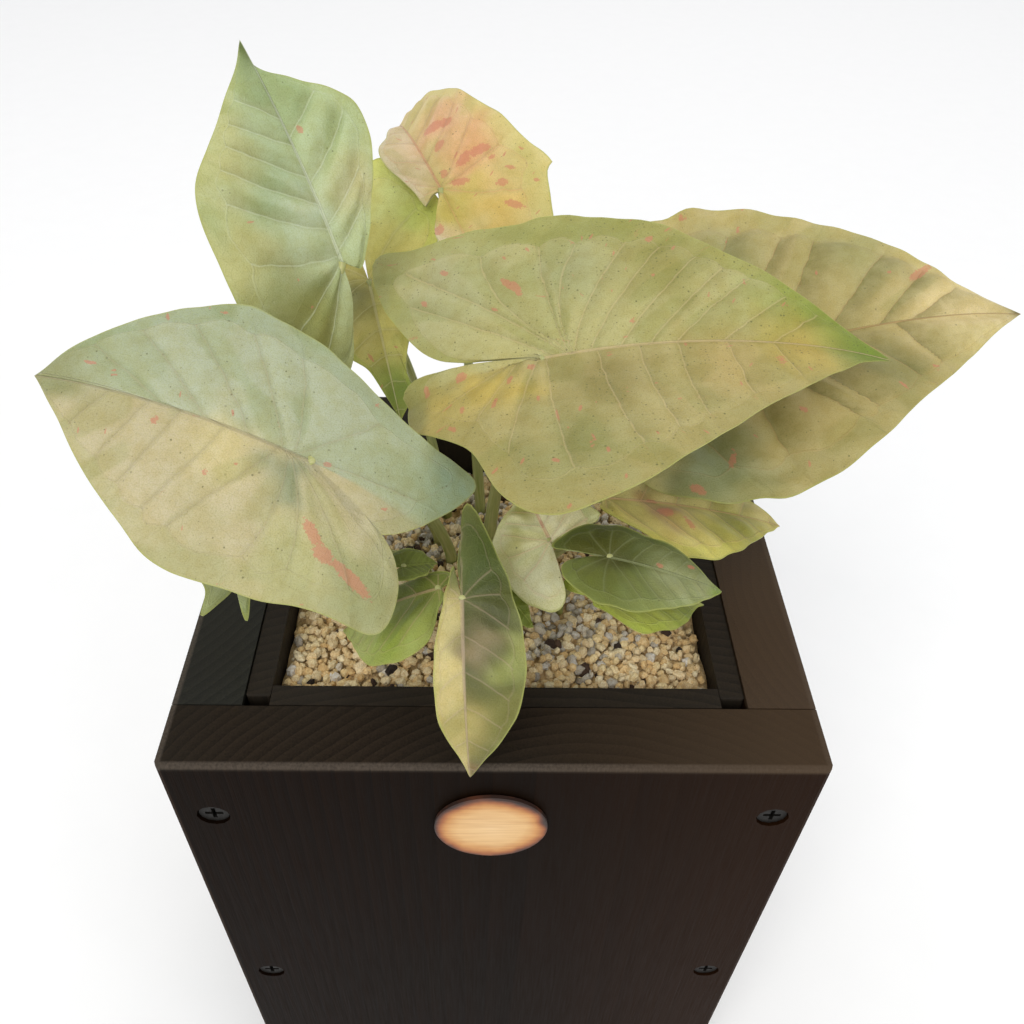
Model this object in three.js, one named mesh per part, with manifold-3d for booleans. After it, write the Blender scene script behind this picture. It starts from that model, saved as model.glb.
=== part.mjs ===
// A potted syngonium: arrow-shaped variegated leaves over a square planter of
// black-stained boards. Millimetres, +Z up, the origin under the middle of the
// planter's underside and -Y towards the front, where the wood disc is.
import * as THREE from 'three';
import { mergeVertices } from 'three/addons/utils/BufferGeometryUtils.js';
import Module from 'manifold-3d';

const wasm = await Module();
wasm.setup();
const { Manifold, Mesh } = wasm;

// Planter
const WIDTH = 150; // outside, left to right
const DEPTH = 138; // outside, front to back
const HEIGHT = 225;
const BOARD = 16; // thickness of the outer boards
const EASE = 1.2; // planed-off edge of every board
const LINER = 6; // thickness of the inner box's boards
const LINER_HEIGHT = 130;
const LINER_EASE = 0.5;
const LINER_SHORT = 3.2; // the side strips stop this far from the front board
const STRIP_DROP = 0.6; // and lie this far below the rim
const CLEAT = 14; // battens under the inner box
const GAP = 0.3; // play between neighbouring pieces
const EASE_STEPS = 2; // facets of an eased edge
const MERGE = 1e-4; // points closer than this are one

// Screws, three rows through the front and the back board
const SCREW_ROWS = [20, 112, 204]; // heights above the ground
const SCREW_INSET = 9.2; // from the outer edge of the board
const SCREW_SINK = 0.7; // of the head below the board's face
const SCREW_MOUTH = 2; // the hole goes on this far outwards, past the board's face
const SCREW_LENGTH = 40;
const SCREW_POINT = 4;
const HEAD_RADIUS = 3.6;
const HEAD_HEIGHT = 2.6;
const HEAD_RIM = 0.4;
const SHANK_RADIUS = 1.9;
const RECESS_WIDTH = 1;
const RECESS_LENGTH = 4.2;
const RECESS_DEPTH = 1.4;
const SCREW_SIDES = 12;

// Wood disc on the front board
const DISC_RADIUS = 13.4;
const DISC_THICKNESS = 1.2;
const DISC_CENTRE = { x: -1, z: 201 };
const DISC_EASE = 0.3;
const DISC_SIDES = 48;

// Substrate, heaped a little higher at the front than at the back
const SOIL_MIDDLE = 215.4;
const SOIL_SLOPE = -0.06; // rise per millimetre towards the back
const SOIL_BUMP = 0.9; // height of the broad swells
const SOIL_SWELL = { x: 0.31, y: 0.27, fromX: 1.3, fromY: 0.4 }; // radians per millimetre, and start
const SOIL_FURROW = { x: 0.74, y: 0.53, height: 0.6 }; // finer slanting rows between the swells
const SOIL_STEP = 5.2; // grid of the surface
const HOLE_DEPTH = 14;
const HOLE_PLAY = 0.5;
const HOLE_SIDES = 12;

// Leaves
const BLADE_THICKNESS = 0.8;
const NEAR_TIP = 0.86; // where `taper` is measured, as a fraction of the length
const SHOULDER = 0.6; // where `shoulder` is measured
const MID_LOBE = 0.5; // where `base` is measured, as a fraction of the lobe
const CUT_END = 0.01; // the cut between the lobes ends this far behind the stalk
const PROBE = 0.4; // to the neighbouring points that give the surface's slope
const STALK_SIDES = 7;
const STALK_STEPS = 9;
const STALK_CLEAR = 1; // the stalk ends this far above the bottom of its hole
const STALK_UPRIGHT = 2; // and is straight to this far above the substrate
const STALK_LEAN = 0.42; // where the stalk's upper bend lies, from base to blade
const STALK_RISE = 0.22; // and how much higher than the straight line
const LARGE = { outline: 24, rings: 3 };
const MEDIUM = { outline: 17, rings: 2 };
const SMALL = { outline: 12, rings: 2 };

// One leaf: the stalk meets the blade at `at`; the midrib leaves it at `heading`
// (anticlockwise from +X) and `pitch`, turns down by `droop` on its way to the tip
// and the lobes behind it by `back`. On each side of the midrib the blade has its
// own width and its own points as fractions of width, length and lobe:
// `taper` and `shoulder` are the width near the tip and at the shoulder, `widest`
// the place of the full width, `base` and `lobeEnd` the width halfway down the
// lobe and at its end, `notch` and `sinus` the bottom of the cut between the lobes.
// `fold` lifts the side and `curl` bends it down towards the margin.
const LEAVES = {
  leaf_left: {
    at: [-41, -28, 278], heading: 172, pitch: 26, roll: -20, droop: 35, back: 23, twist: -4, length: 63,
    left: { width: 32, lobe: 32, widest: 0.28, shoulder: 0.67, taper: 0.23, base: 0.89, lobeEnd: 0.79,
      notch: 0.8, sinus: 0.31, fold: -1, curl: -27 },
    right: { width: 30, lobe: 39, widest: 0.29, shoulder: 0.82, taper: 0.36, base: 0.63, lobeEnd: 0.52,
      notch: 0.53, sinus: -0.25, fold: 6, curl: -15 },
    ripple: { height: 0.6, length: 24 }, foot: [-13, 4], stalk: [1.8, 1.1], detail: LARGE,
  },
  leaf_upper_left: {
    at: [-39, 27, 295], heading: 134, pitch: 62, roll: -10, droop: 24, back: 14, twist: -2, length: 55,
    left: { width: 28, lobe: 27, widest: 0.36, shoulder: 0.69, taper: 0.2, base: 0.94, lobeEnd: 0.41,
      notch: 0.55, sinus: 0.1, fold: 12, curl: -14 },
    right: { width: 16, lobe: 2, widest: 0.33, shoulder: 1.13, taper: 0.05, base: 0.35, lobeEnd: 0.15,
      notch: 0.38, sinus: 0.05, fold: 13, curl: -13 },
    ripple: { height: 0.5, length: 16 }, foot: [-17, 13], stalk: [1.7, 1.1], detail: LARGE,
    by: [[-29, 4, 254], [-42, 19, 279]],
  },
  leaf_middle: {
    at: [-37, 56, 274], heading: 285, pitch: -21, roll: 20, droop: 0, back: 0, twist: 1, length: 47,
    left: { width: 24, lobe: 39, widest: -0.15, shoulder: 0.26, taper: 0.22, base: 1.05, lobeEnd: 0.59,
      notch: 0.91, sinus: 0.14, fold: 13, curl: -15 },
    right: { width: 16, lobe: 16, widest: 0.32, shoulder: 0.38, taper: 0.12, base: 0.89, lobeEnd: 0.45,
      notch: 0.55, sinus: 0.1, fold: 12, curl: -15 },
    ripple: { height: 0.5, length: 18 }, foot: [-15, 25], stalk: [1.6, 1], detail: LARGE,
  },
  leaf_back: {
    at: [-17, 72, 294], heading: 116, pitch: 21, roll: -21, droop: 54, back: 1, twist: -2, length: 59,
    left: { width: 11, lobe: 3, widest: 0.36, shoulder: 0.56, taper: 0.2, base: 0.6, lobeEnd: 0.5,
      notch: 0.5, sinus: 0.2, fold: 13, curl: -14 },
    right: { width: 29, lobe: 36, widest: -0.19, shoulder: 0.56, taper: 0.27, base: 0.94, lobeEnd: 0.6,
      notch: 0.5, sinus: -0.24, fold: 25, curl: -11 },
    ripple: { height: 0.8, length: 20 }, foot: [-5, 27], stalk: [1.7, 1.1], detail: LARGE,
  },
  leaf_centre: {
    at: [10, 2, 285], heading: -4, pitch: 17, roll: 21, droop: 39, back: 25, twist: 0, length: 85,
    left: { width: 37, lobe: 49, widest: 0.25, shoulder: 0.56, taper: 0.15, base: 1.2, lobeEnd: 1.3,
      notch: 0.62, sinus: 0.27, fold: 9, curl: -12 },
    right: { width: 51, lobe: 35, widest: 0.05, shoulder: 0.38, taper: 0.09, base: 0.47, lobeEnd: 0.19,
      notch: 1, sinus: -0.08, fold: 17, curl: 1 },
    ripple: { height: 0.5, length: 26 }, foot: [-2, 14], stalk: [2, 1.2], detail: LARGE,
  },
  leaf_right: {
    at: [49, 18, 270], heading: 8, pitch: 20, roll: 19, droop: 34, back: 15, twist: 0, length: 97,
    left: { width: 50, lobe: 33, widest: 0.16, shoulder: 0.56, taper: 0.14, base: 0.8, lobeEnd: 0.49,
      notch: 0.55, sinus: 0.1, fold: 9, curl: -13 },
    right: { width: 40, lobe: 26, widest: 0.18, shoulder: 0.53, taper: 0.17, base: 0.81, lobeEnd: 0.31,
      notch: 0.54, sinus: 0.1, fold: 8, curl: -15 },
    ripple: { height: 0.9, length: 14 }, foot: [9, 20], stalk: [2, 1.2], detail: LARGE,
  },
  leaf_low_right: {
    at: [26, -12, 254], heading: 7, pitch: -9, roll: -1, droop: 15, back: 15, twist: 3, length: 50,
    left: { width: 15, lobe: 6, widest: 0.3, shoulder: 0.8, taper: 0.4, base: 0.9, lobeEnd: 0.45,
      notch: 0.55, sinus: 0.1, fold: 10, curl: -14 },
    right: { width: 20, lobe: 1.5, widest: 0.3, shoulder: 0.78, taper: 0.28, base: 0.35, lobeEnd: 0.12,
      notch: 0.5, sinus: 0.03, fold: 11, curl: -16 },
    ripple: { height: 0.5, length: 15 }, foot: [13, 6], stalk: [1.4, 0.8], detail: MEDIUM,
  },
  leaf_small_right: {
    at: [24, -39, 261], heading: -10, pitch: -5, roll: 2, droop: 17, back: 16, twist: 1, length: 26,
    left: { width: 9, lobe: 13, widest: 0.08, shoulder: 0.71, taper: 0.21, base: 0.88, lobeEnd: 0.15,
      notch: 0.55, sinus: 0.05, fold: 12, curl: -15 },
    right: { width: 15, lobe: 10, widest: 0.15, shoulder: 0.66, taper: 0.28, base: 0.83, lobeEnd: 0.38,
      notch: 0.66, sinus: 0.12, fold: 12, curl: -15 },
    ripple: { height: 0.3, length: 10 }, foot: [11, -7], stalk: [1.3, 0.8], detail: MEDIUM,
  },
  leaf_under_right: {
    at: [23, -36, 245], heading: 10, pitch: -4, roll: 2, droop: 26, back: 15, twist: 0, length: 29,
    left: { width: 9, lobe: 7, widest: 0.12, shoulder: 0.62, taper: 0.2, base: 0.9, lobeEnd: 0.45,
      notch: 0.55, sinus: 0.1, fold: 12, curl: -15 },
    right: { width: 12, lobe: 1.5, widest: 0.24, shoulder: 0.82, taper: 0.22, base: 0.35, lobeEnd: 0.12,
      notch: 0.5, sinus: 0.04, fold: 13, curl: -14 },
    ripple: { height: 0.3, length: 10 }, foot: [17, -15], stalk: [1.2, 0.8], detail: MEDIUM,
  },
  leaf_pale: {
    at: [12, -25, 252], heading: 108, pitch: 2, roll: -20, droop: 19, back: 9, twist: 0, length: 27,
    left: { width: 13, lobe: 18, widest: 0.22, shoulder: 0.34, taper: 0.19, base: 0.98, lobeEnd: 0.54,
      notch: 0.85, sinus: 0.17, fold: 12, curl: -15 },
    right: { width: 13, lobe: 2, widest: 0.02, shoulder: 0.6, taper: 0.2, base: 1, lobeEnd: 0.85,
      notch: 0.4, sinus: 0.3, fold: 17, curl: -10 },
    ripple: { height: 0.4, length: 10 }, foot: [4, -5], stalk: [1.3, 0.8], detail: MEDIUM,
  },
  leaf_front: {
    at: [-8, -49, 258], heading: 272, pitch: -25, roll: 4, droop: 58, back: 20, twist: -2, length: 41,
    left: { width: 13, lobe: 24, widest: 0.23, shoulder: 0.84, taper: 0.29, base: 0.54, lobeEnd: 0.08,
      notch: 0.42, sinus: -0.08, fold: 8, curl: -15 },
    right: { width: 6, lobe: 8, widest: 0.26, shoulder: 1.01, taper: 0.29, base: 0.5, lobeEnd: 0.3,
      notch: 0.6, sinus: 0.22, fold: 2, curl: -14 },
    ripple: { height: 0.3, length: 12 }, foot: [-5, -9], stalk: [1.4, 0.9], detail: MEDIUM,
  },
  leaf_low_left: {
    at: [-14, -36, 247], heading: 181, pitch: -19, roll: -5, droop: 30, back: 15, twist: 1, length: 28,
    left: { width: 16, lobe: 1.5, widest: 0.14, shoulder: 0.96, taper: 0.34, base: 0.35, lobeEnd: 0.12,
      notch: 0.5, sinus: 0.03, fold: 6, curl: -10 },
    right: { width: 5, lobe: 4, widest: 0.11, shoulder: 0.73, taper: 0.2, base: 0.9, lobeEnd: 0.45,
      notch: 0.55, sinus: 0.1, fold: 8, curl: -15 },
    ripple: { height: 0.3, length: 11 }, foot: [-11, -13], stalk: [1.2, 0.8], detail: MEDIUM,
  },
  leaf_olive: {
    at: [-22, -32, 250], heading: 12, pitch: 6, roll: 1, droop: 21, back: 15, twist: 1, length: 8,
    left: { width: 5, lobe: 4, widest: 0.1, shoulder: 0.71, taper: 0.21, base: 0.9, lobeEnd: 0.45,
      notch: 0.55, sinus: 0.1, fold: 12, curl: -15 },
    right: { width: 5, lobe: 3, widest: 0.15, shoulder: 0.77, taper: 0.2, base: 0.82, lobeEnd: 0.48,
      notch: 0.55, sinus: 0.1, fold: 12, curl: -15 },
    ripple: { height: 0.1, length: 8 }, foot: [-17, -9], stalk: [1.1, 0.7], detail: SMALL,
  },
  leaf_behind_front: {
    at: [-1, -33, 246], heading: -45, pitch: -9, roll: 0, droop: 25, back: 15, twist: 0, length: 14,
    left: { width: 3, lobe: 4, widest: 0.1, shoulder: 0.78, taper: 0.21, base: 0.91, lobeEnd: 0.45,
      notch: 0.55, sinus: 0.1, fold: 12, curl: -15 },
    right: { width: 10, lobe: 4, widest: 0.12, shoulder: 0.61, taper: 0.25, base: 0.9, lobeEnd: 0.45,
      notch: 0.55, sinus: 0.1, fold: 12, curl: -15 },
    ripple: { height: 0.1, length: 8 }, foot: [1, -15], stalk: [1.1, 0.7], detail: SMALL,
  },
  leaf_far_left: {
    at: [-63, -28, 243], heading: 112, pitch: -5, roll: 22, droop: 35, back: 20, twist: 0, length: 33,
    left: { width: 10, lobe: 14, widest: 0.13, shoulder: 0.62, taper: 0.2, base: 0.77, lobeEnd: 0.88,
      notch: 0.45, sinus: 0.11, fold: 12, curl: -15 },
    right: { width: 3, lobe: 15, widest: 0.12, shoulder: 0.62, taper: 0.2, base: 0.93, lobeEnd: 0.45,
      notch: 0.73, sinus: 0.06, fold: 12, curl: -15 },
    ripple: { height: 0.2, length: 10 }, foot: [-23, 0], stalk: [1.3, 0.8], detail: MEDIUM,
  },
};

const group = new THREE.Group();
group.name = 'potted_syngonium';

const BLACK_WOOD = { color: 0x1f1b18, roughness: 0.6 };
const RAW_WOOD = { color: 0x8a5a34, roughness: 0.8 };
const PALE_WOOD = { color: 0xdcb67e, roughness: 0.6 };
const BLACK_METAL = { color: 0x1a1918, roughness: 0.45 };
const GRIT = { color: 0xc9b78c, roughness: 0.95 };
const LEAF = { color: 0xa3ad7c, roughness: 0.55 };

function add(name, geometry, look) {
  const material = new THREE.MeshStandardMaterial({ name, ...look });
  const mesh = new THREE.Mesh(geometry, material);
  mesh.name = name;
  group.add(mesh);
}

// A geometry as a solid for the cuts and joins below, and back.
function solid(geometry) {
  const bare = new THREE.BufferGeometry();
  bare.setAttribute('position', geometry.getAttribute('position'));
  if (geometry.index) bare.setIndex(geometry.index);
  const whole = mergeVertices(bare, MERGE);
  return new Manifold(new Mesh({
    numProp: 3,
    vertProperties: new Float32Array(whole.getAttribute('position').array),
    triVerts: new Uint32Array(whole.index.array),
  }));
}

function geometryOf(body) {
  const mesh = body.getMesh();
  const geometry = new THREE.BufferGeometry();
  geometry.setAttribute('position', new THREE.BufferAttribute(mesh.vertProperties, mesh.numProp));
  geometry.setIndex(new THREE.BufferAttribute(mesh.triVerts, 1));
  geometry.computeVertexNormals();
  return geometry;
}

// A block between two corners with its edges eased.
function board(from, to, ease) {
  const [wide, deep, high] = to.map((end, i) => end - from[i]);
  const face = new THREE.Shape();
  face.moveTo(ease, ease);
  face.lineTo(wide - ease, ease);
  face.lineTo(wide - ease, high - ease);
  face.lineTo(ease, high - ease);
  face.closePath();
  const geometry = new THREE.ExtrudeGeometry(face, {
    depth: deep - 2 * ease,
    bevelEnabled: true,
    bevelSize: ease,
    bevelThickness: ease,
    bevelSegments: EASE_STEPS,
  });
  geometry.rotateX(Math.PI / 2);
  geometry.translate(from[0], to[1] - ease, from[2]);
  return geometry;
}

function block(from, to) {
  return Manifold.cube(to.map((end, i) => end - from[i])).translate(from);
}

// The screws stand in holes of their own form, drawn with this much play.
function screw(play) {
  const head = HEAD_RADIUS + play;
  const shank = SHANK_RADIUS + play;
  const outline = [
    [0, 0], [head, 0], [head, HEAD_RIM + play], [shank, HEAD_HEIGHT + play],
    [shank, SCREW_LENGTH - SCREW_POINT + 2 * play], [0, SCREW_LENGTH + 2 * play],
  ].map(([r, y]) => new THREE.Vector2(r, -y)).reverse();
  return solid(new THREE.LatheGeometry(outline, SCREW_SIDES));
}

function recess() {
  const bar = new THREE.BoxGeometry(RECESS_LENGTH, 2 * RECESS_DEPTH, RECESS_WIDTH);
  const cross = new THREE.BoxGeometry(RECESS_WIDTH, 2 * RECESS_DEPTH, RECESS_LENGTH);
  return solid(bar).add(solid(cross));
}

const innerX = WIDTH / 2 - BOARD;
const innerY = DEPTH / 2 - BOARD;
const linerBottom = HEIGHT - LINER_HEIGHT;

// The lathe's axis is Y; the front screws point backwards, the back ones forwards.
const screws = [];
const mouthRadius = HEAD_RADIUS + GAP;
const mouth = Manifold.cylinder(SCREW_MOUTH, mouthRadius, mouthRadius, SCREW_SIDES).rotate([-90, 0, 0]);
for (const [row, height] of ['low', 'middle', 'top'].map((row, i) => [row, SCREW_ROWS[i]])) {
  for (const [hand, x] of [['left', SCREW_INSET - WIDTH / 2], ['right', WIDTH / 2 - SCREW_INSET]]) {
    for (const [side, y, turn] of [
      ['front', SCREW_SINK - DEPTH / 2, 180], ['back', DEPTH / 2 - SCREW_SINK, 0],
    ]) {
      const place = (body) => body.rotate([0, 0, turn]).translate([x, y, height]);
      screws.push({
        name: `screw_${side}_${hand}_${row}`,
        body: place(screw(0).subtract(recess())),
        hole: place(screw(GAP).add(mouth)),
      });
    }
  }
}

const outer = {
  front_board: [[-WIDTH / 2, -DEPTH / 2, 0], [WIDTH / 2, -innerY, HEIGHT]],
  back_board: [[-WIDTH / 2, innerY, 0], [WIDTH / 2, DEPTH / 2, HEIGHT]],
  left_board: [[-WIDTH / 2, -innerY + GAP, 0], [-innerX, innerY - GAP, HEIGHT]],
  right_board: [[innerX, -innerY + GAP, 0], [WIDTH / 2, innerY - GAP, HEIGHT]],
};
const planed = solid(board([-WIDTH / 2, -DEPTH / 2, 0], [WIDTH / 2, DEPTH / 2, HEIGHT], EASE));
for (const [name, [from, to]] of Object.entries(outer)) {
  let body = block(from, to).intersect(planed);
  for (const { hole } of screws) body = body.subtract(hole);
  add(name, geometryOf(body), BLACK_WOOD);
}
const bottom = board([-innerX + GAP, -innerY + GAP, 0], [innerX - GAP, innerY - GAP, BOARD], EASE);
add('bottom_board', bottom, BLACK_WOOD);
for (const { name, body } of screws) add(name, geometryOf(body), BLACK_METAL);

// Battens on the side boards that carry the inner box.
for (const [name, side] of [['left_cleat', -1], ['right_cleat', 1]]) {
  const [a, b] = [side * (innerX - GAP), side * (innerX - CLEAT)].sort((p, q) => p - q);
  const from = [a, GAP - innerY, linerBottom - CLEAT - GAP];
  add(name, board(from, [b, innerY - GAP, linerBottom - GAP], LINER_EASE), RAW_WOOD);
}

// Inner box: side strips, a back board between them and a floor.
const linerX = innerX - LINER;
const linerY = innerY - LINER;
const stripTop = HEIGHT - STRIP_DROP;
const liner = {
  liner_back: [[-linerX + GAP, linerY, linerBottom], [linerX - GAP, innerY - GAP, stripTop]],
  liner_left: [[-innerX + GAP, -innerY + LINER_SHORT, linerBottom], [-linerX, innerY - GAP, stripTop]],
  liner_right: [[linerX, -innerY + LINER_SHORT, linerBottom], [innerX - GAP, innerY - GAP, stripTop]],
  liner_floor: [
    [-linerX + GAP, -linerY + GAP, linerBottom], [linerX - GAP, linerY - GAP, linerBottom + LINER],
  ],
};
for (const [name, [from, to]] of Object.entries(liner)) add(name, board(from, to, LINER_EASE), BLACK_WOOD);

// The inner front board lies flush against the outer one: only its inner edge is eased.
const frontFrom = [-linerX + GAP, -innerY + GAP, linerBottom];
const frontTo = [linerX - GAP, -linerY, HEIGHT];
const easedFront = solid(board([frontFrom[0], frontFrom[1] - LINER, frontFrom[2]], frontTo, LINER_EASE));
add('liner_front', geometryOf(easedFront.intersect(block(frontFrom, frontTo))), BLACK_WOOD);

// Wood disc, its axis along Y.
const discOutline = [
  [0, 0], [DISC_RADIUS, 0], [DISC_RADIUS, DISC_THICKNESS - DISC_EASE],
  [DISC_RADIUS - DISC_EASE, DISC_THICKNESS], [0, DISC_THICKNESS],
].map(([r, y]) => new THREE.Vector2(r, y));
const disc = new THREE.LatheGeometry(discOutline, DISC_SIDES);
disc.rotateX(Math.PI);
disc.translate(DISC_CENTRE.x, -DEPTH / 2 - GAP, DISC_CENTRE.z);
add('wood_disc', disc, PALE_WOOD);

const radians = (degrees) => (degrees * Math.PI) / 180;
const arc = (angle) => (angle === 0 ? 1 : Math.sin(angle) / angle);

// A point of the blade: u runs along the midrib from the stalk to the tip, v to the
// left of it. The side is folded and curled, then laid along the bent midrib, and
// the whole is rolled, pitched and turned to its heading.
function onBlade(leaf, u, v) {
  const side = v >= 0 ? leaf.left : leaf.right;
  const across = Math.abs(v);
  const lift = radians(side.fold + (side.curl * across) / side.width / 2);
  const twist = radians(leaf.twist) * Math.min(Math.max(u / leaf.length, -1), 1);
  const flat = new THREE.Vector2(v * Math.cos(lift), across * Math.sin(lift));
  flat.rotateAround(new THREE.Vector2(), twist);
  const wave = Math.sin((2 * Math.PI * u) / leaf.ripple.length);
  flat.y += leaf.ripple.height * (across / side.width) ** 2 * wave;
  const bend = u >= 0 ? (radians(leaf.droop) * u) / leaf.length : (radians(leaf.back) * -u) / side.lobe;
  const ahead = u >= 0 ? 1 : -1;
  const chord = Math.abs(u) * arc(bend / 2);
  const point = new THREE.Vector3(
    ahead * (chord * Math.cos(bend / 2) + Math.sin(bend) * flat.y),
    flat.x,
    -chord * Math.sin(bend / 2) + Math.cos(bend) * flat.y,
  );
  point.applyAxisAngle(new THREE.Vector3(1, 0, 0), radians(leaf.roll));
  point.applyAxisAngle(new THREE.Vector3(0, 1, 0), -radians(leaf.pitch));
  point.applyAxisAngle(new THREE.Vector3(0, 0, 1), radians(leaf.heading));
  return point.add(new THREE.Vector3(...leaf.at));
}

// The margin of one side from the tip to the bottom of the cut between the lobes.
function margin(leaf, side, hand) {
  const { length } = leaf;
  const { width, lobe } = side;
  const points = [
    [length, 0],
    [NEAR_TIP * length, side.taper * width],
    [SHOULDER * length, side.shoulder * width],
    [side.widest * length, width],
    [-MID_LOBE * lobe, side.base * width],
    [-lobe, side.lobeEnd * width],
    [-side.notch * lobe, side.sinus * width],
    [-CUT_END * length, 0],
  ].map(([u, v]) => new THREE.Vector3(u, hand * v, 0));
  return new THREE.CatmullRomCurve3(points, false, 'catmullrom').getPoints(leaf.detail.outline);
}

// The blade: rings shrunk from the margin to the top of the stalk, on two faces that
// lie half a thickness to either side of the curved surface.
function blade(leaf) {
  const left = margin(leaf, leaf.left, 1).reverse();
  const right = margin(leaf, leaf.right, -1).slice(1, -1);
  const loop = [...left, ...right];
  const { rings } = leaf.detail;
  const flat = [[0, 0]];
  for (let ring = 1; ring <= rings; ring += 1) {
    for (const p of loop) flat.push([(p.x * ring) / rings, (p.y * ring) / rings]);
  }
  const faces = [1, -1].map((hand) => flat.map(([u, v]) => {
    const along = onBlade(leaf, u + PROBE, v).sub(onBlade(leaf, u - PROBE, v));
    const over = onBlade(leaf, u, v + PROBE).sub(onBlade(leaf, u, v - PROBE));
    const normal = along.cross(over).normalize();
    return onBlade(leaf, u, v).addScaledVector(normal, (hand * BLADE_THICKNESS) / 2);
  }));
  const size = flat.length;
  const count = loop.length;
  const at = (ring, i) => 1 + (ring - 1) * count + (i % count);
  const triangles = [];
  const both = (a, b, c) => triangles.push(a, c, b, size + a, size + b, size + c);
  for (let i = 0; i < count; i += 1) {
    both(0, at(1, i), at(1, i + 1));
    for (let ring = 1; ring < rings; ring += 1) {
      both(at(ring, i), at(ring + 1, i), at(ring + 1, i + 1));
      both(at(ring, i), at(ring + 1, i + 1), at(ring, i + 1));
    }
    const [a, b] = [at(rings, i), at(rings, i + 1)];
    triangles.push(a, b, size + b, a, size + b, size + a);
  }
  const geometry = new THREE.BufferGeometry();
  geometry.setFromPoints([...faces[0], ...faces[1]]);
  geometry.setIndex(triangles);
  return solid(geometry);
}

function soilHeight(x, y) {
  const swell = Math.sin(SOIL_SWELL.x * x + SOIL_SWELL.fromX)
    * Math.cos(SOIL_SWELL.y * y + SOIL_SWELL.fromY);
  const furrow = SOIL_FURROW.height * Math.sin(SOIL_FURROW.x * x - SOIL_FURROW.y * y);
  return SOIL_MIDDLE + SOIL_SLOPE * y + SOIL_BUMP * (swell + furrow);
}

// A leaf stalk: it rises from its hole in the substrate and bends over to the blade,
// where `by` is given by way of those points, clear of the other leaves.
function stalkLine(leaf) {
  const [x, y] = leaf.foot;
  const top = new THREE.Vector3(...leaf.at);
  const soil = soilHeight(x, y);
  const foot = new THREE.Vector3(x, y, soil - HOLE_DEPTH + STALK_CLEAR);
  const middle = new THREE.Vector3(x, y, soil - HOLE_DEPTH / 2);
  const out = new THREE.Vector3(x, y, soil + STALK_UPRIGHT);
  const bend = out.clone().lerp(top, STALK_LEAN);
  bend.z = THREE.MathUtils.lerp(out.z, top.z, STALK_LEAN + STALK_RISE);
  const way = leaf.by ? leaf.by.map((point) => new THREE.Vector3(...point)) : [bend];
  return new THREE.CatmullRomCurve3([foot, middle, out, ...way, top], false, 'centripetal');
}

function tube(line, radii, sides, steps) {
  const frames = line.computeFrenetFrames(steps);
  const points = [];
  const triangles = [];
  for (let i = 0; i <= steps; i += 1) {
    const centre = line.getPointAt(i / steps);
    const radius = THREE.MathUtils.lerp(radii[0], radii[1], i / steps);
    for (let j = 0; j < sides; j += 1) {
      const angle = (2 * Math.PI * j) / sides;
      points.push(centre.clone()
        .addScaledVector(frames.normals[i], radius * Math.cos(angle))
        .addScaledVector(frames.binormals[i], radius * Math.sin(angle)));
      if (i === steps) continue;
      const [a, b] = [i * sides + j, i * sides + ((j + 1) % sides)];
      triangles.push(a, b, b + sides, a, b + sides, a + sides);
    }
  }
  for (let j = 1; j < sides - 1; j += 1) {
    triangles.push(0, j + 1, j);
    triangles.push(steps * sides, steps * sides + j, steps * sides + j + 1);
  }
  const geometry = new THREE.BufferGeometry();
  geometry.setFromPoints(points);
  geometry.setIndex(triangles);
  return solid(geometry);
}

for (const [name, leaf] of Object.entries(LEAVES)) {
  const stalk = tube(stalkLine(leaf), leaf.stalk, STALK_SIDES, STALK_STEPS);
  add(name, geometryOf(blade(leaf).add(stalk)), LEAF);
}

// Substrate: a block with an uneven top and a plain hole for each stalk.
function substrate() {
  const [x0, y0] = [-linerX + GAP, -linerY + GAP];
  const [wide, deep] = [-2 * x0, -2 * y0];
  const underside = linerBottom + LINER + GAP;
  const [columns, rows] = [Math.round(wide / SOIL_STEP), Math.round(deep / SOIL_STEP)];
  const slab = new THREE.BoxGeometry(wide, deep, 1, columns, rows, 1);
  const points = slab.getAttribute('position');
  for (let i = 0; i < points.count; i += 1) {
    const [x, y] = [points.getX(i), points.getY(i)];
    points.setZ(i, points.getZ(i) > 0 ? soilHeight(x, y) : underside);
  }
  let body = solid(slab);
  for (const leaf of Object.values(LEAVES)) {
    const [x, y] = leaf.foot;
    const radius = leaf.stalk[0] + HOLE_PLAY;
    const hole = Manifold.cylinder(2 * HOLE_DEPTH, radius, radius, HOLE_SIDES);
    body = body.subtract(hole.translate([x, y, soilHeight(x, y) - HOLE_DEPTH]));
  }
  return geometryOf(body);
}
add('substrate', substrate(), GRIT);

export default group;
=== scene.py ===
"""A potted syngonium: variegated arrow-shaped leaves over a square planter of
black-stained boards, filled with pumice. Lengths are in millimetres until a mesh
is made, +Z is up and -Y is the front."""
from functools import partial

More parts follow.
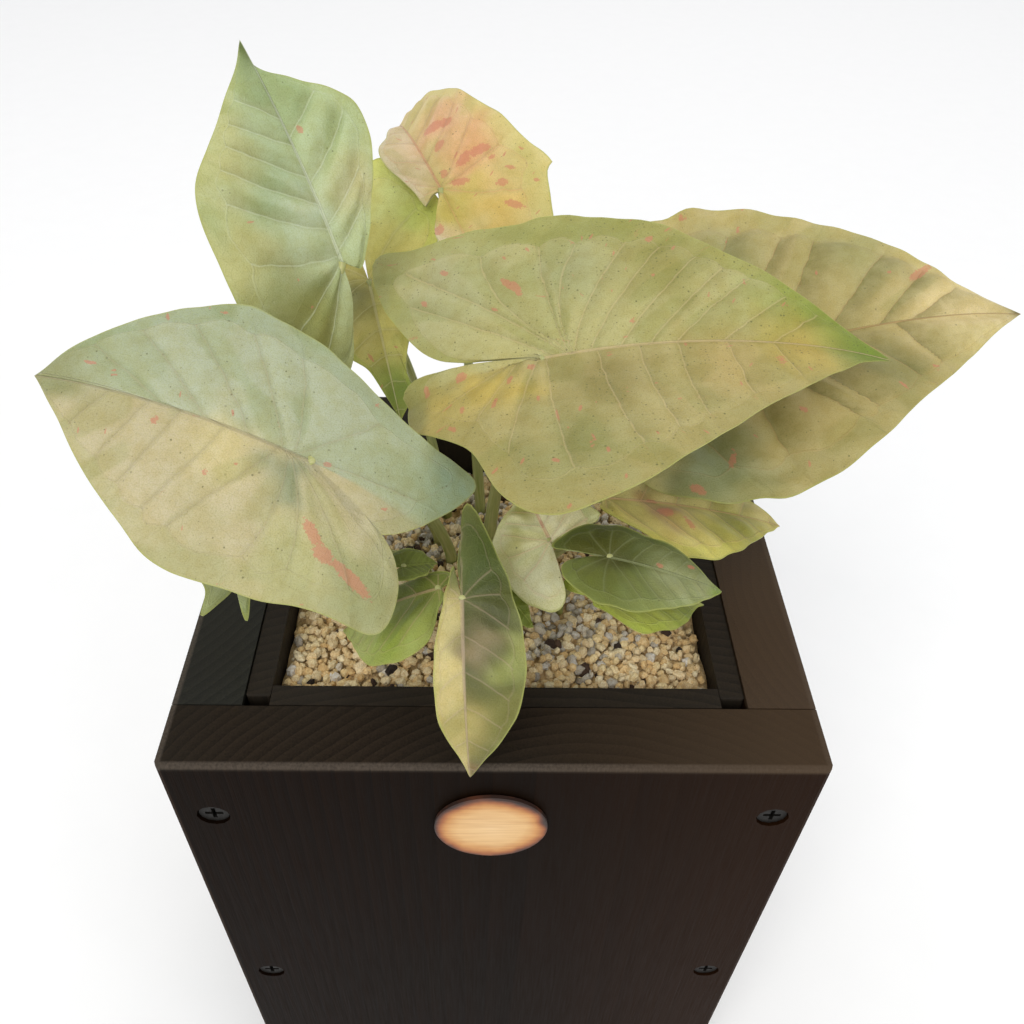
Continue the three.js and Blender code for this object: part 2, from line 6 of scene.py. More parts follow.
import bpy
import numpy as np
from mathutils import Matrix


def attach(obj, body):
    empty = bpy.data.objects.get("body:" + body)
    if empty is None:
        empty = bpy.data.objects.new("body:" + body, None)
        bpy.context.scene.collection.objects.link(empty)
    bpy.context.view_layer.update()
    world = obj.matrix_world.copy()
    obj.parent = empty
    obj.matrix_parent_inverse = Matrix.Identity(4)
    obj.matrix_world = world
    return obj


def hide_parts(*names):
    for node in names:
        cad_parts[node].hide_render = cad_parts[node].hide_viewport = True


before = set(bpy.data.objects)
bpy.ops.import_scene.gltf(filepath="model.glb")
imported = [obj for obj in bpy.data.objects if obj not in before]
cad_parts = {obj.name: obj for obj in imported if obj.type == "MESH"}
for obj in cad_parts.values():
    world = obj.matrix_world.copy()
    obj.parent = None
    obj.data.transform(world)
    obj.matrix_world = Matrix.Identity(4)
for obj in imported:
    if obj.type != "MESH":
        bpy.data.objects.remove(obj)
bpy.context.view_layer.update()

# The planter, as in the solids.
WIDTH, DEPTH, HEIGHT = 150.0, 138.0, 225.0
BOARD, LINER, GAP = 16.0, 6.0, 0.3
EASE = 1.2
DISC_X, DISC_Z, DISC_RADIUS = -1.0, 201.0, 13.4
BED_X = WIDTH / 2 - BOARD - LINER - GAP  # half the substrate's width
BED_Y = DEPTH / 2 - BOARD - LINER - GAP
BED_BOTTOM, BED_TOP = 101.3, 215.4

# Fine meshes: points round a leaf's margin, rings out to it, sides and rings of a stalk.
LARGE, MEDIUM, SMALL = (230, 44), (150, 26), (90, 16)
STALK_SIDES, STALK_RINGS = 14, 60
BLADE_THICKNESS, MARGIN_THICKNESS = 0.5, 0.22
LEAF_STEP = 200  # keeps the leaves apart in the noise, so that no two are alike


def side(width, lobe, widest, shoulder, taper, base, lobe_end, notch, sinus, fold, curl):
    """One half of a blade, from the midrib to its margin."""
    return dict(width=width, lobe=lobe, widest=widest, shoulder=shoulder, taper=taper, base=base,
                lobe_end=lobe_end, notch=notch, sinus=sinus, fold=fold, curl=curl)


# u runs from the stalk along the midrib, v to its left. The leaves' places and forms are those of
# the solids: where the stalk meets the blade, the angles in degrees, the ripple's height and reach,
# the stalk's foot, its radii at foot and blade and, for one leaf, the points it passes by. What
# follows `detail` is their look: tones of each half, of its marginal band and of the veins, the
# height of the quilting, the opening round the stalk (eye), the shares of specks and flecks, how
# much painted shade darkens the panels ahead of the side veins, these veins as (start, rise,
# bend), soft patches as (u, v, reach, tone) and blotches as (u, v, half-length, half-width, turn).
LEAVES = {
    "leaf_left": dict(
        at=(-41, -28, 278), heading=172, pitch=26, roll=-20, droop=35, back=23, twist=-4, length=63,
        left=side(32, 32, 0.28, 0.67, 0.23, 0.89, 0.79, 0.8, 0.31, -1, -27),
        right=side(30, 39, 0.29, 0.82, 0.36, 0.63, 0.52, 0.53, -0.25, 6, -15),
        ripple=(0.6, 24), foot=(-13, 4), stalk=(1.8, 1.1), detail=LARGE,
        tones=("#BEB390", "#AEB499"), bands=("#B2AC82", "#9BA687"), rib="#9A8F6C",
        quilt=0.3, eye=1.3, specks=0.12, flecks=0.06, panel_shade=0.08,
        veins=dict(
            left=[(3.7, -2.42, 0.18), (3.8, -1.35, 0.37), (4.1, -0.74, 0.45), (4.5, -0.33, 0.41),
                  (6.3, 0.5, 0.19), (18.4, 0.26, 0.19), (28, 0.21, 0.19), (35.1, 0.3, 0.18),
                  (44, 0.5, 0.2)],
            right=[(2.5, -8.18, 0.2), (2.9, -0.97, 0.15), (3.1, 0.15, 0.25), (5.6, 0.62, 0.12),
                  (13.1, 0.9, 0.18), (22.9, 1.23, 0.21), (32.1, 2.07, 0.2)]),
        patches=[(-8, 20, 12, "#BFB98E"), (-24, 22, 12, "#A0A276"), (-26, -12, 14, "#A6AE8C"),
                 (-34, -13, 9, "#94A88E"), (16, 5, 8, "#CBBE90"), (2, 5, 5, "#979C80"),
                 (58, 0, 8, "#979871")],
        blotches=[(-7, 14, 3.4, 1.3, 144), (-11, 17, 2.8, 1.7, 165), (-19, 19, 6.8, 1.4, 165),
                  (32, 4, 1.2, 0.8, -98), (51, -5, 1.7, 0.7, 167), (45, -4, 1.8, 0.6, 129),
                  (18, 11, 0.9, 0.6, 142),
                  (-4, -1, 1, 0.7, -165), (16, -4, 0.6, 0.5, 152), (25, 0, 0.8, 0.4, -171),
                  (13, 7, 0.6, 0.4, -142),
                  (-9, -20, 1.1, 0.7, -126), (30, -26, 1.1, 0.6, -174), (-19, 2, 0.9, 0.5, -171),
                  (-12, 28, 1, 0.4, -148)]),
    "leaf_upper_left": dict(
        at=(-39, 27, 295), heading=134, pitch=62, roll=-10, droop=24, back=14, twist=-2, length=55,
        left=side(28, 27, 0.36, 0.69, 0.2, 0.94, 0.41, 0.55, 0.1, 12, -14),
        right=side(16, 2, 0.33, 1.13, 0.05, 0.35, 0.15, 0.38, 0.05, 13, -13),
        ripple=(0.5, 16), foot=(-17, 13), stalk=(1.7, 1.1), detail=LARGE,
        by=[(-29, 4, 254), (-42, 19, 279)],
        tones=("#B4BE94", "#B3BF93"), bands=("#B9BD8C", "#AFBA88"), rib="#C6CCAE",
        quilt=0.8, eye=0.4, specks=0.05, flecks=0.02, panel_shade=0.3,
        veins=dict(
            left=[(0, -1.6, 0.1), (0.5, -0.8, 0.2), (1.5, 0, 0.3), (8, 0.35, 0.3), (14, 0.5, 0.3),
        (20.4, 0.63, 0.19),
                  (28.2, 0.55, 0.19), (34.7, 0.68, 0.21)],
            right=[(2.6, 0.71, 0.16), (8.8, 0.63, 0.23), (19, 0.62, 0.28), (30.2, 0.66, 0.18)]),
        patches=[(20, 12, 12, "#9DB08A"), (7, 25, 12, "#C3BE8B"), (29, 19, 9, "#BDBB86"),
                 (12, 4, 8, "#C2CCB0"),
                 (-4, 14, 9, "#9FA581"), (-14, 16, 13, "#8E8F4C"), (14, -12, 8, "#C0BC90"),
                 (40, -2, 10, "#A6B68C"), (53, 0, 5, "#5E7038")],
        blotches=[(31, -3, 1.1, 0.8, -168), (0, 13, 0.5, 0.3, -139), (-7, 12, 0.7, 0.4, -153),
                  (38, 7, 0.5, 0.4, -157)]),
    "leaf_middle": dict(
        at=(-37, 56, 274), heading=285, pitch=-21, roll=20, droop=0, back=0, twist=1, length=47,
        left=side(24, 39, -0.15, 0.26, 0.22, 1.05, 0.59, 0.91, 0.14, 13, -15),
        right=side(16, 16, 0.32, 0.38, 0.12, 0.89, 0.45, 0.55, 0.1, 12, -15),
        ripple=(0.5, 18), foot=(-15, 25), stalk=(1.6, 1), detail=LARGE,
        tones=("#D6CC76", "#CABE70"), bands=("#CED46E", "#B4B85C"), rib="#C4BC8A",
        quilt=0.5, eye=0.3, specks=0.1, flecks=0.03,
        patches=[(-26, 17, 12, "#E0E498"), (-15, 20, 7, "#CCD272"), (27, 6, 6, "#C6BC6C"),
                 (40, 2, 12, "#76892F"),
                 (6, -8, 8, "#8F8C58")],
        blotches=[(26, -4, 1.6, 0.5, 21)]),
    "leaf_back": dict(
        at=(-17, 72, 294), heading=116, pitch=21, roll=-21, droop=54, back=1, twist=-2, length=59,
        left=side(11, 3, 0.36, 0.56, 0.2, 0.6, 0.5, 0.5, 0.2, 13, -14),
        right=side(29, 36, -0.19, 0.56, 0.27, 0.94, 0.6, 0.5, -0.24, 25, -11),
        ripple=(0.8, 20), foot=(-5, 27), stalk=(1.7, 1.1), detail=LARGE,
        tones=("#D9C4A0", "#DAC68C"), bands=("#D6C8AC", "#D2C686"), rib="#C08A68",
        quilt=0.7, eye=0.5, specks=0.12, flecks=0.16,
        patches=[(18, -10, 10, "#DCB08A"), (-8, -1, 9, "#C9B862"), (-17, -12, 9, "#DCBC72"),
                 (3, -13, 9, "#DDAD7E")],
        blotches=[(20, -7, 3.6, 2.1, -105), (18, -11, 2.7, 1.6, -120), (12, -6, 2.2, 2, -94),
                  (2, -10, 2.9, 1.7, -90), (1, -15, 3.6, 1.3, -105), (3, -3, 1.4, 1.2, -175),
                  (-3, -6, 3.7, 1.2, -128),
                  (-10, -20, 2, 0.6, -140), (-12, -16, 2, 1.2, -132), (-20, -16, 3.4, 1.1, -142),
                  (-18, -24, 1.1, 0.6, -133), (-13, 6, 1.9, 1.4, -61), (-3, -17, 1.3, 0.7, -103),
                  (-6, -25, 1.4, 0.4, -150)]),
    "leaf_centre": dict(
        at=(10, 2, 285), heading=-4, pitch=17, roll=21, droop=39, back=25, twist=0, length=85,
        left=side(37, 49, 0.25, 0.56, 0.15, 1.2, 1.3, 0.62, 0.27, 9, -12),
        right=side(51, 35, 0.05, 0.38, 0.09, 0.47, 0.19, 1, -0.08, 17, 1),
        ripple=(0.5, 26), foot=(-2, 14), stalk=(2, 1.2), detail=LARGE,
        tones=("#B6B07A", "#B2A670"), bands=("#999A50", "#A3985E"), rib="#C4AE82",
        quilt=0.45, eye=1.6, specks=0.55, flecks=0.12, panel_shade=0.22,
        veins=dict(
            left=[(2.5, -1.57, 0.23), (5.5, -1.12, 0.02), (5.8, -1.14, 0.6), (5.8, -0.3, 0.17),
                  (6.4, -0.35, 0.57), (6.7, 0.25, 0.36), (10.6, 0.54, 0.23), (17.6, 0.71, 0.26),
                  (24.6, 0.83, 0.21), (30.4, 0.98, 0.24), (41.4, 1.22, 0.2), (52.9, 1.42, 0.2)],
            right=[(-9, -1.79, 0.21), (-6.8, -0.54, 0.24), (-1.3, -0.31, 0.22), (0.5, 0.05, 0.13),
                  (12.2, 0.1, 0.19), (21.6, 0.06, 0.21), (30.5, -0.02, 0.22), (42, 0.02, 0.21),
                  (52.8, 0.22, 0.2)]),
        patches=[(-24, 26, 16, "#B4B286"), (66, 9, 15, "#8C9A42"), (79, 1, 11, "#74892C"),
                 (-14, -7, 7, "#C6AE5E"),
                 (-26, -8, 8, "#BBA860"), (-5, -12, 5, "#BFA95C"), (5, -34, 14, "#9C9862"),
                 (-36, -2, 8, "#9B9760"),
                 (40, -8, 12, "#B6A266"), (8, 22, 10, "#A8A87A"), (30, 22, 12, "#9E985A"),
                 (14, -12, 9, "#988C56"), (58, -3, 10, "#BCA658")],
        blotches=[(-7, 22, 3.2, 1, -50), (-5, 20, 2.7, 0.9, -72), (-24, 32, 1.8, 0.8, -45),
                  (-28, 39, 1.3, 0.6, -41),
                  (-21, 38, 1, 0.6, -33), (-1, 29, 0.9, 0.5, -90), (27, 29, 1.3, 1, 47),
                  (27, 18, 1, 0.4, 65),
                  (21, 6, 1.2, 0.5, 58), (19, 2, 0.8, 0.4, 75), (15, -3, 1.4, 0.6, 90),
                  (18, -16, 1.7, 0.3, -97),
                  (24, -15, 0.7, 0.4, -109), (10, -32, 2.5, 0.6, -85), (3, -22, 2.7, 0.4, -85),
                  (-1, -15, 1.4, 0.4, -90),
                  (-3, -3, 1, 1.1, 52), (-8, -6, 1.7, 0.8, 83), (-11, -13, 2.1, 0.7, 84),
                  (-21, 0, 1.8, 1.4, 34),
                  (-31, 0, 1.6, 0.9, 66), (-19, -12, 1.5, 0.7, -82), (-21, -17, 1.8, 0.7, -44),
                  (-11, 16, 1.1, 0.5, -36),
                  (-30, 25, 1.6, 0.7, -49), (42, -2, 1.1, 0.8, -67), (53, -7, 2.3, 1.2, -95),
                  (57, 10, 1, 0.7, -52),
                  (48, 16, 1.1, 0.6, 67), (39, 12, 0.9, 0.4, 62), (28, -22, 1.4, 0.3, -90),
                  (30, -28, 0.8, 0.4, -75),
                  (15, -44, 0.7, 0.5, -55), (3, -36, 1.2, 0.7, -44)]),
    "leaf_right": dict(
        at=(49, 18, 270), heading=8, pitch=20, roll=19, droop=34, back=15, twist=0, length=97,
        left=side(50, 33, 0.16, 0.56, 0.14, 0.8, 0.49, 0.55, 0.1, 9, -13),
        right=side(40, 26, 0.18, 0.53, 0.17, 0.81, 0.31, 0.54, 0.1, 8, -15),
        ripple=(0.9, 14), foot=(9, 20), stalk=(2, 1.2), detail=LARGE,
        tones=("#B8A872", "#B2A26A"), bands=("#BCAE74", "#A69C68"), rib="#A07E50",
        quilt=1.4, eye=0.5, specks=0.08, flecks=0.03, panel_shade=0.6,
        veins=dict(
            left=[(-0.2, 0.46, 0.24), (12.8, 0.59, 0.2), (23.8, 0.59, 0.19), (36.3, 1.07, 0.21),
                  (51.1, 1.28, 0.19), (60.1, 2.06, 0.2)],
            right=[(-13.2, 0.42, 0.08), (13.5, -0.15, 0.2), (16.5, 0.53, 0.19), (21.6, 0.59, 0.2),
                  (40.8, 0.59, 0.2), (55.3, 0.2, 0.31)]),
        patches=[(78, -3, 17, "#E4D09C"), (96, 0, 5, "#3C3C16"), (-6, -28, 14, "#8D9470"),
                 (-19, -26, 7, "#C2BA86"),
                 (55, 24, 12, "#AFA674"), (46, -14, 8, "#938C5C"), (20, 30, 10, "#A19C6A")],
        blotches=[(69, 14, 5.6, 1.2, 26), (14, 48, 1.7, 0.9, -69), (27, 39, 1.9, 0.6, 40),
                  (27, 36, 1.1, 0.6, -21),
                  (59, 14, 1, 0.6, 0), (21, -21, 1.2, 1, -58), (1, -28, 2.5, 0.9, 54),
                  (-9, -32, 2.3, 1.2, -51),
                  (39, -12, 0.6, 0.8, -44), (58, -17, 1.2, 0.8, -30), (43, -25, 0.8, 0.5, -76)]),
    "leaf_low_right": dict(
        at=(26, -12, 254), heading=7, pitch=-9, roll=-1, droop=15, back=15, twist=3, length=50,
        left=side(15, 6, 0.3, 0.8, 0.4, 0.9, 0.45, 0.55, 0.1, 10, -14),
        right=side(20, 1.5, 0.3, 0.78, 0.28, 0.35, 0.12, 0.5, 0.03, 11, -16),
        ripple=(0.5, 15), foot=(13, 6), stalk=(1.4, 0.8), detail=MEDIUM,
        tones=("#D8CA90", "#D6C87A"), bands=("#D2C878", "#CEC868"), rib="#C89E78",
        quilt=0.8, panel_shade=0.3, eye=0.2, specks=0.08, flecks=0.04,
        patches=[(14, -5, 6, "#B08C5E"), (34, -6, 10, "#A9A455")],
        blotches=[(14, -5, 2.2, 1.6, -34), (19, -9, 3, 0.9, -74), (12, 0, 1.7, 0.8, -2)]),
    "leaf_small_right": dict(
        at=(24, -39, 261), heading=-10, pitch=-5, roll=2, droop=17, back=16, twist=1, length=26,
        left=side(9, 13, 0.08, 0.71, 0.21, 0.88, 0.15, 0.55, 0.05, 12, -15),
        right=side(15, 10, 0.15, 0.66, 0.28, 0.83, 0.38, 0.66, 0.12, 12, -15),
        ripple=(0.3, 10), foot=(11, -7), stalk=(1.3, 0.8), detail=MEDIUM,
        tones=("#5A6230", "#78824A"), bands=("#566330", "#8B9658"), rib="#8A9068",
        quilt=0.4, eye=0.2, specks=0.05, flecks=0.03,
        patches=[(-3, 3, 8, "#4E511A"), (-2, -10, 6, "#6A7234"), (18, -3, 8, "#A4A97E"),
                 (24, 0, 3, "#7E9A3C")],
        blotches=[(18, 3, 0.9, 0.6, 4), (11, 1, 1, 0.5, -10)]),
    "leaf_under_right": dict(
        at=(23, -36, 245), heading=10, pitch=-4, roll=2, droop=26, back=15, twist=0, length=29,
        left=side(9, 7, 0.12, 0.62, 0.2, 0.9, 0.45, 0.55, 0.1, 12, -15),
        right=side(12, 1.5, 0.24, 0.82, 0.22, 0.35, 0.12, 0.5, 0.04, 13, -14),
        ripple=(0.3, 10), foot=(17, -15), stalk=(1.2, 0.8), detail=MEDIUM,
        tones=("#A8B250", "#B6BE5C"), bands=("#A2B046", "#AEBA50"), rib="#BCC27C",
        quilt=0.3, eye=0.2, specks=0.02, flecks=0, patches=[(22, -6, 6, "#7F8A38")], blotches=[]),
    "leaf_pale": dict(
        at=(12, -25, 252), heading=108, pitch=2, roll=-20, droop=19, back=9, twist=0, length=27,
        left=side(13, 18, 0.22, 0.34, 0.19, 0.98, 0.54, 0.85, 0.17, 12, -15),
        right=side(13, 2, 0.02, 0.6, 0.2, 1, 0.85, 0.4, 0.3, 17, -10),
        ripple=(0.4, 10), foot=(4, -5), stalk=(1.3, 0.8), detail=MEDIUM,
        tones=("#F2EEC8", "#F4ECCA"), bands=("#D8D6A0", "#C8CE94"), rib="#D0A488",
        quilt=0.7, eye=0.3, specks=0.03, flecks=0.03,
        patches=[(-10, 6, 7, "#DAD7B8"), (2, 9, 4, "#C9C68E"), (13, 3, 5, "#A9A862")],
        blotches=[(12, 0, 1.8, 0.7, -177), (6, 0, 1.5, 0.4, 177)]),
    "leaf_front": dict(
        at=(-8, -49, 258), heading=272, pitch=-25, roll=4, droop=58, back=20, twist=-2, length=41,
        left=side(13, 24, 0.23, 0.84, 0.29, 0.54, 0.08, 0.42, -0.08, 8, -15),
        right=side(6, 8, 0.26, 1.01, 0.29, 0.5, 0.3, 0.6, 0.22, 2, -14),
        ripple=(0.3, 12), foot=(-5, -9), stalk=(1.4, 0.9), detail=MEDIUM,
        tones=("#55582E", "#CBBC86"), bands=("#767A44", "#BCB072"), rib="#A8947A",
        quilt=0.45, eye=0.2, specks=0.04, flecks=0.02,
        patches=[(-10, 6, 11, "#46521F"), (-10, -5, 8, "#56642C"), (5, 8, 6, "#43461C"),
                 (12, 11, 5, "#969A5A"),
                 (26, 8, 8, "#747238"), (28, -3, 7, "#B0A268"), (10, 3, 4, "#86785A"),
                 (39, 1, 3, "#7A6440")],
        blotches=[]),
    "leaf_low_left": dict(
        at=(-14, -36, 247), heading=181, pitch=-19, roll=-5, droop=30, back=15, twist=1, length=28,
        left=side(16, 1.5, 0.14, 0.96, 0.34, 0.35, 0.12, 0.5, 0.03, 6, -10),
        right=side(5, 4, 0.11, 0.73, 0.2, 0.9, 0.45, 0.55, 0.1, 8, -15),
        ripple=(0.3, 11), foot=(-11, -13), stalk=(1.2, 0.8), detail=MEDIUM,
        tones=("#9AA654", "#6F7A30"), bands=("#A0AA5E", "#7F8A3A"), rib="#B89C78",
        quilt=0.35, eye=0.2, specks=0.03, flecks=0,
        patches=[(5, 4, 6, "#6B7530"), (22, 8, 8, "#A6AE6C"), (12, 12, 5, "#8A9A3C")], blotches=[]),
    "leaf_olive": dict(
        at=(-22, -32, 250), heading=12, pitch=6, roll=1, droop=21, back=15, twist=1, length=8,
        left=side(5, 4, 0.1, 0.71, 0.21, 0.9, 0.45, 0.55, 0.1, 12, -15),
        right=side(5, 3, 0.15, 0.77, 0.2, 0.82, 0.48, 0.55, 0.1, 12, -15),
        ripple=(0.1, 8), foot=(-17, -9), stalk=(1.1, 0.7), detail=SMALL,
        tones=("#66712A", "#626D28"), bands=("#6C7730", "#6C7730"), rib="#7F8842",
        quilt=0.2, eye=0.1, specks=0, flecks=0, patches=[], blotches=[]),
    "leaf_behind_front": dict(
        at=(-1, -33, 246), heading=-45, pitch=-9, roll=0, droop=25, back=15, twist=0, length=14,
        left=side(3, 4, 0.1, 0.78, 0.21, 0.91, 0.45, 0.55, 0.1, 12, -15),
        right=side(10, 4, 0.12, 0.61, 0.25, 0.9, 0.45, 0.55, 0.1, 12, -15),
        ripple=(0.1, 8), foot=(1, -15), stalk=(1.1, 0.7), detail=SMALL,
        tones=("#7C8A30", "#78862E"), bands=("#8A9636", "#8A9636"), rib="#9AA350",
        quilt=0.2, eye=0.1, specks=0, flecks=0, patches=[], blotches=[]),
    "leaf_far_left": dict(
        at=(-63, -28, 243), heading=112, pitch=-5, roll=22, droop=35, back=20, twist=0, length=33,
        left=side(10, 14, 0.13, 0.62, 0.2, 0.77, 0.88, 0.45, 0.11, 12, -15),
        right=side(3, 15, 0.12, 0.62, 0.2, 0.93, 0.45, 0.73, 0.06, 12, -15),
        ripple=(0.2, 10), foot=(-23, 0), stalk=(1.3, 0.8), detail=MEDIUM,
        tones=("#A9B083", "#9AA66C"), bands=("#A4AC78", "#9AA66C"), rib="#BCC19C",
        quilt=0.3, eye=0.2, specks=0.05, flecks=0.02, patches=[], blotches=[]),
}


def linear(code):
    """An sRGB hex colour as linear red, green, blue and a full alpha."""
    part = np.array([int(code[i:i + 2], 16) for i in (1, 3, 5)]) / 255
    part = np.where(part <= 0.04045, part / 12.92, ((part + 0.055) / 1.055) ** 2.4)
    return (*part.tolist(), 1.0)


def feed(node, inputs):
    """Gives each input of a node, by number or name, a value or another node's output."""
    for name, value in inputs.items() if isinstance(inputs, dict) else enumerate(inputs):
        if isinstance(value, bpy.types.NodeSocket):
            node.id_data.links.new(value, node.inputs[name])
        else:
            node.inputs[name].default_value = value


def put(tree, kind, inputs, **settings):
    """Adds a node with its settings and inputs, and returns its outputs."""
    made = tree.nodes.new("ShaderNode" + kind)
    for name, value in settings.items():
        setattr(made, name, value)
    feed(made, inputs)
    return made.outputs


# ---- surfaces ----

def smooth(low, high, x):
    """0 below low, 1 above high, with an even ease between them."""
    t = np.clip((x - low) / (high - low), 0, 1)
    return t * t * (3 - 2 * t)


def swell(x, y, reach, seed):
    """Gentle unevenness, mostly between -1 and 1: a third of the sum of five sine waves, of about
    that reach each and in drawn directions."""
    draw = np.random.default_rng(seed)
    total = 0
    for _ in range(5):
        way, start = draw.uniform(0, 2 * np.pi), draw.uniform(0, 2 * np.pi)
        pace = draw.uniform(0.7, 1.5)
        total = total + np.sin(2 * np.pi * pace / reach * (x * np.cos(way) + y * np.sin(way)) + start)
    return total / 3


def curve(points, steps, power):
    """A Catmull-Rom curve through the points: cubic arcs whose tangents come from the neighbours,
    timed by the distance between points to the given power (0 even, 0.5 centripetal)."""
    p = np.asarray(points, float)
    p = np.vstack([2 * p[:1] - p[1:2], p, 2 * p[-1:] - p[-2:-1]])
    span = np.linalg.norm(np.diff(p, axis=0), axis=1)[:, None] ** power
    a, b, c, d = p[:-3], p[1:-2], p[2:-1], p[3:]
    ab, bc, cd = span[:-2], span[1:-1], span[2:]
    out = ((b - a) / ab - (c - a) / (ab + bc) + (c - b) / bc) * bc
    into = ((c - b) / bc - (d - b) / (bc + cd) + (d - c) / cd) * bc
    t = np.linspace(0, 1, steps, endpoint=False)[None, :, None]
    b, c, out, into = (q[:, None, :] for q in (b, c, out, into))
    arcs = ((2 * b - 2 * c + out + into) * t ** 3 + (-3 * b + 3 * c - 2 * out - into) * t ** 2
            + out * t + b)
    return np.vstack([arcs.reshape(-1, p.shape[1]), p[-2:-1]])


def evenly(line, count):
    """The line again as count points at equal distances along it."""
    run = np.concatenate([[0], np.cumsum(np.linalg.norm(np.diff(line, axis=0), axis=1))])
    at = np.linspace(0, run[-1], count)
    return np.stack([np.interp(at, run, line[:, k]) for k in range(line.shape[1])], 1)


def turned(points, degrees, first, second):
    """The points turned from one axis towards the other."""
    c, s = np.cos(np.radians(degrees)), np.sin(np.radians(degrees))
    out = points.copy()
    out[..., first] = c * points[..., first] - s * points[..., second]
    out[..., second] = s * points[..., first] + c * points[..., second]
    return out


def by_side(leaf, v, key):
    """The left half's value where v is to the left of the midrib, else the right half's."""
    return np.where(v >= 0, leaf["left"][key], leaf["right"][key])


def on_blade(leaf, u, v):
    """The curved blade at u along the midrib and v to its left: each side is lifted by its fold and
    bent down by its curl, twisted and rippled, laid along a midrib bent to a circular arc, and the
    whole is rolled, pitched and turned to its heading."""
    across, width = np.abs(v), by_side(leaf, v, "width")
    lift = np.radians(by_side(leaf, v, "fold") + by_side(leaf, v, "curl") * across / width / 2)
    flat = np.stack([v * np.cos(lift), across * np.sin(lift)], -1)
    twist = leaf["twist"] * np.clip(u / leaf["length"], -1, 1)
    flat = turned(flat, twist, 0, 1)
    height, reach = leaf["ripple"]
    up = flat[..., 1] + height * (across / width) ** 2 * np.sin(2 * np.pi * u / reach)
    bend = np.radians(np.where(u >= 0, leaf["droop"] * u / leaf["length"],
                               leaf["back"] * -u / by_side(leaf, v, "lobe")))
    chord = np.abs(u) * np.sinc(bend / 2 / np.pi)
    ahead = np.where(u >= 0, 1, -1)
    points = np.stack([ahead * (chord * np.cos(bend / 2) + np.sin(bend) * up), flat[..., 0],
                       -chord * np.sin(bend / 2) + np.cos(bend) * up], -1)
    points = turned(points, leaf["roll"], 1, 2)
    points = turned(points, -leaf["pitch"], 2, 0)
    return turned(points, leaf["heading"], 0, 1) + leaf["at"]


def margin(leaf, half, hand, count):
    """One side's margin from the tip to the bottom of the cut between the lobes, through the side's
    named widths, with the cut opened a little round the stalk."""
    length, width, lobe = leaf["length"], half["width"], half["lobe"]
    line = curve([
        (length, 0), (0.86 * length, half["taper"] * width), (0.6 * length, half["shoulder"] * width),
        (half["widest"] * length, width), (-0.5 * lobe, half["base"] * width),
        (-lobe, half["lobe_end"] * width), (-half["notch"] * lobe, half["sinus"] * width),
        (-0.01 * length, 0)], 60, 0)
    line = evenly(line, count)
    left = np.linalg.norm(line - line[-1], axis=1)
    inside = smooth(0.4, 0.9, np.arange(count) / count)
    line[:, 1] += leaf["eye"] * inside * np.exp(-(((left - 2.6) / 1.9) ** 2))
    return line * (1, hand)


def vein_field(leaf, u, v):
    """The leaf's veins as level lines: whole numbers are the side veins, counted from the base.
    Where a leaf has named veins, each is u = start + rise |v| + bend |v|^2 / width, and between two
    of them the number runs in proportion to the distances to both. Else they are even steps along
    the midrib, rising towards the tip, and even angles round the stalk behind the first one.
    Returns that number and the distance between two veins."""
    across, width = np.abs(v), by_side(leaf, v, "width")
    if "veins" in leaf:
        number, gap = np.zeros_like(u), np.ones_like(u)
        for half, inside in (("left", v >= 0), ("right", v < 0)):
            away = []
            for start, rise, bend in leaf["veins"][half]:
                slope = rise + 2 * bend * across / width
                off = u - start - rise * across - bend * across ** 2 / width
                away.append(off / np.sqrt(1 + slope ** 2))
            end = leaf["length"] / 8
            count = away[0].clip(-end / 2, 0) / end + away[-1].clip(0, end / 2) / end
            room = np.full_like(u, end)
            for near, far in zip(away[:-1], away[1:]):
                between = (near - far).clip(0.8)
                count = count + (near / between).clip(0, 1)
                room = np.where((near > 0) & (far <= 0), between, room)
            number, gap = np.where(inside, count, number), np.where(inside, room, gap)
        return number, gap
    spacing = leaf["length"] / 5.4
    rise = 0.45 * across + 0.35 * across ** 2 / width
    ahead = u - rise
    step = np.radians(38)
    behind = np.arctan2(across + 1e-6, u) - np.arctan2(across + 1e-6, rise + 0.45e-6)
    slope = 0.45 + 0.7 * across / width
    number = np.where(ahead >= 0, ahead / spacing, -behind / step)
    gap = np.where(ahead >= 0, spacing / np.sqrt(1 + slope ** 2), np.hypot(u, v) * step)
    return number, gap


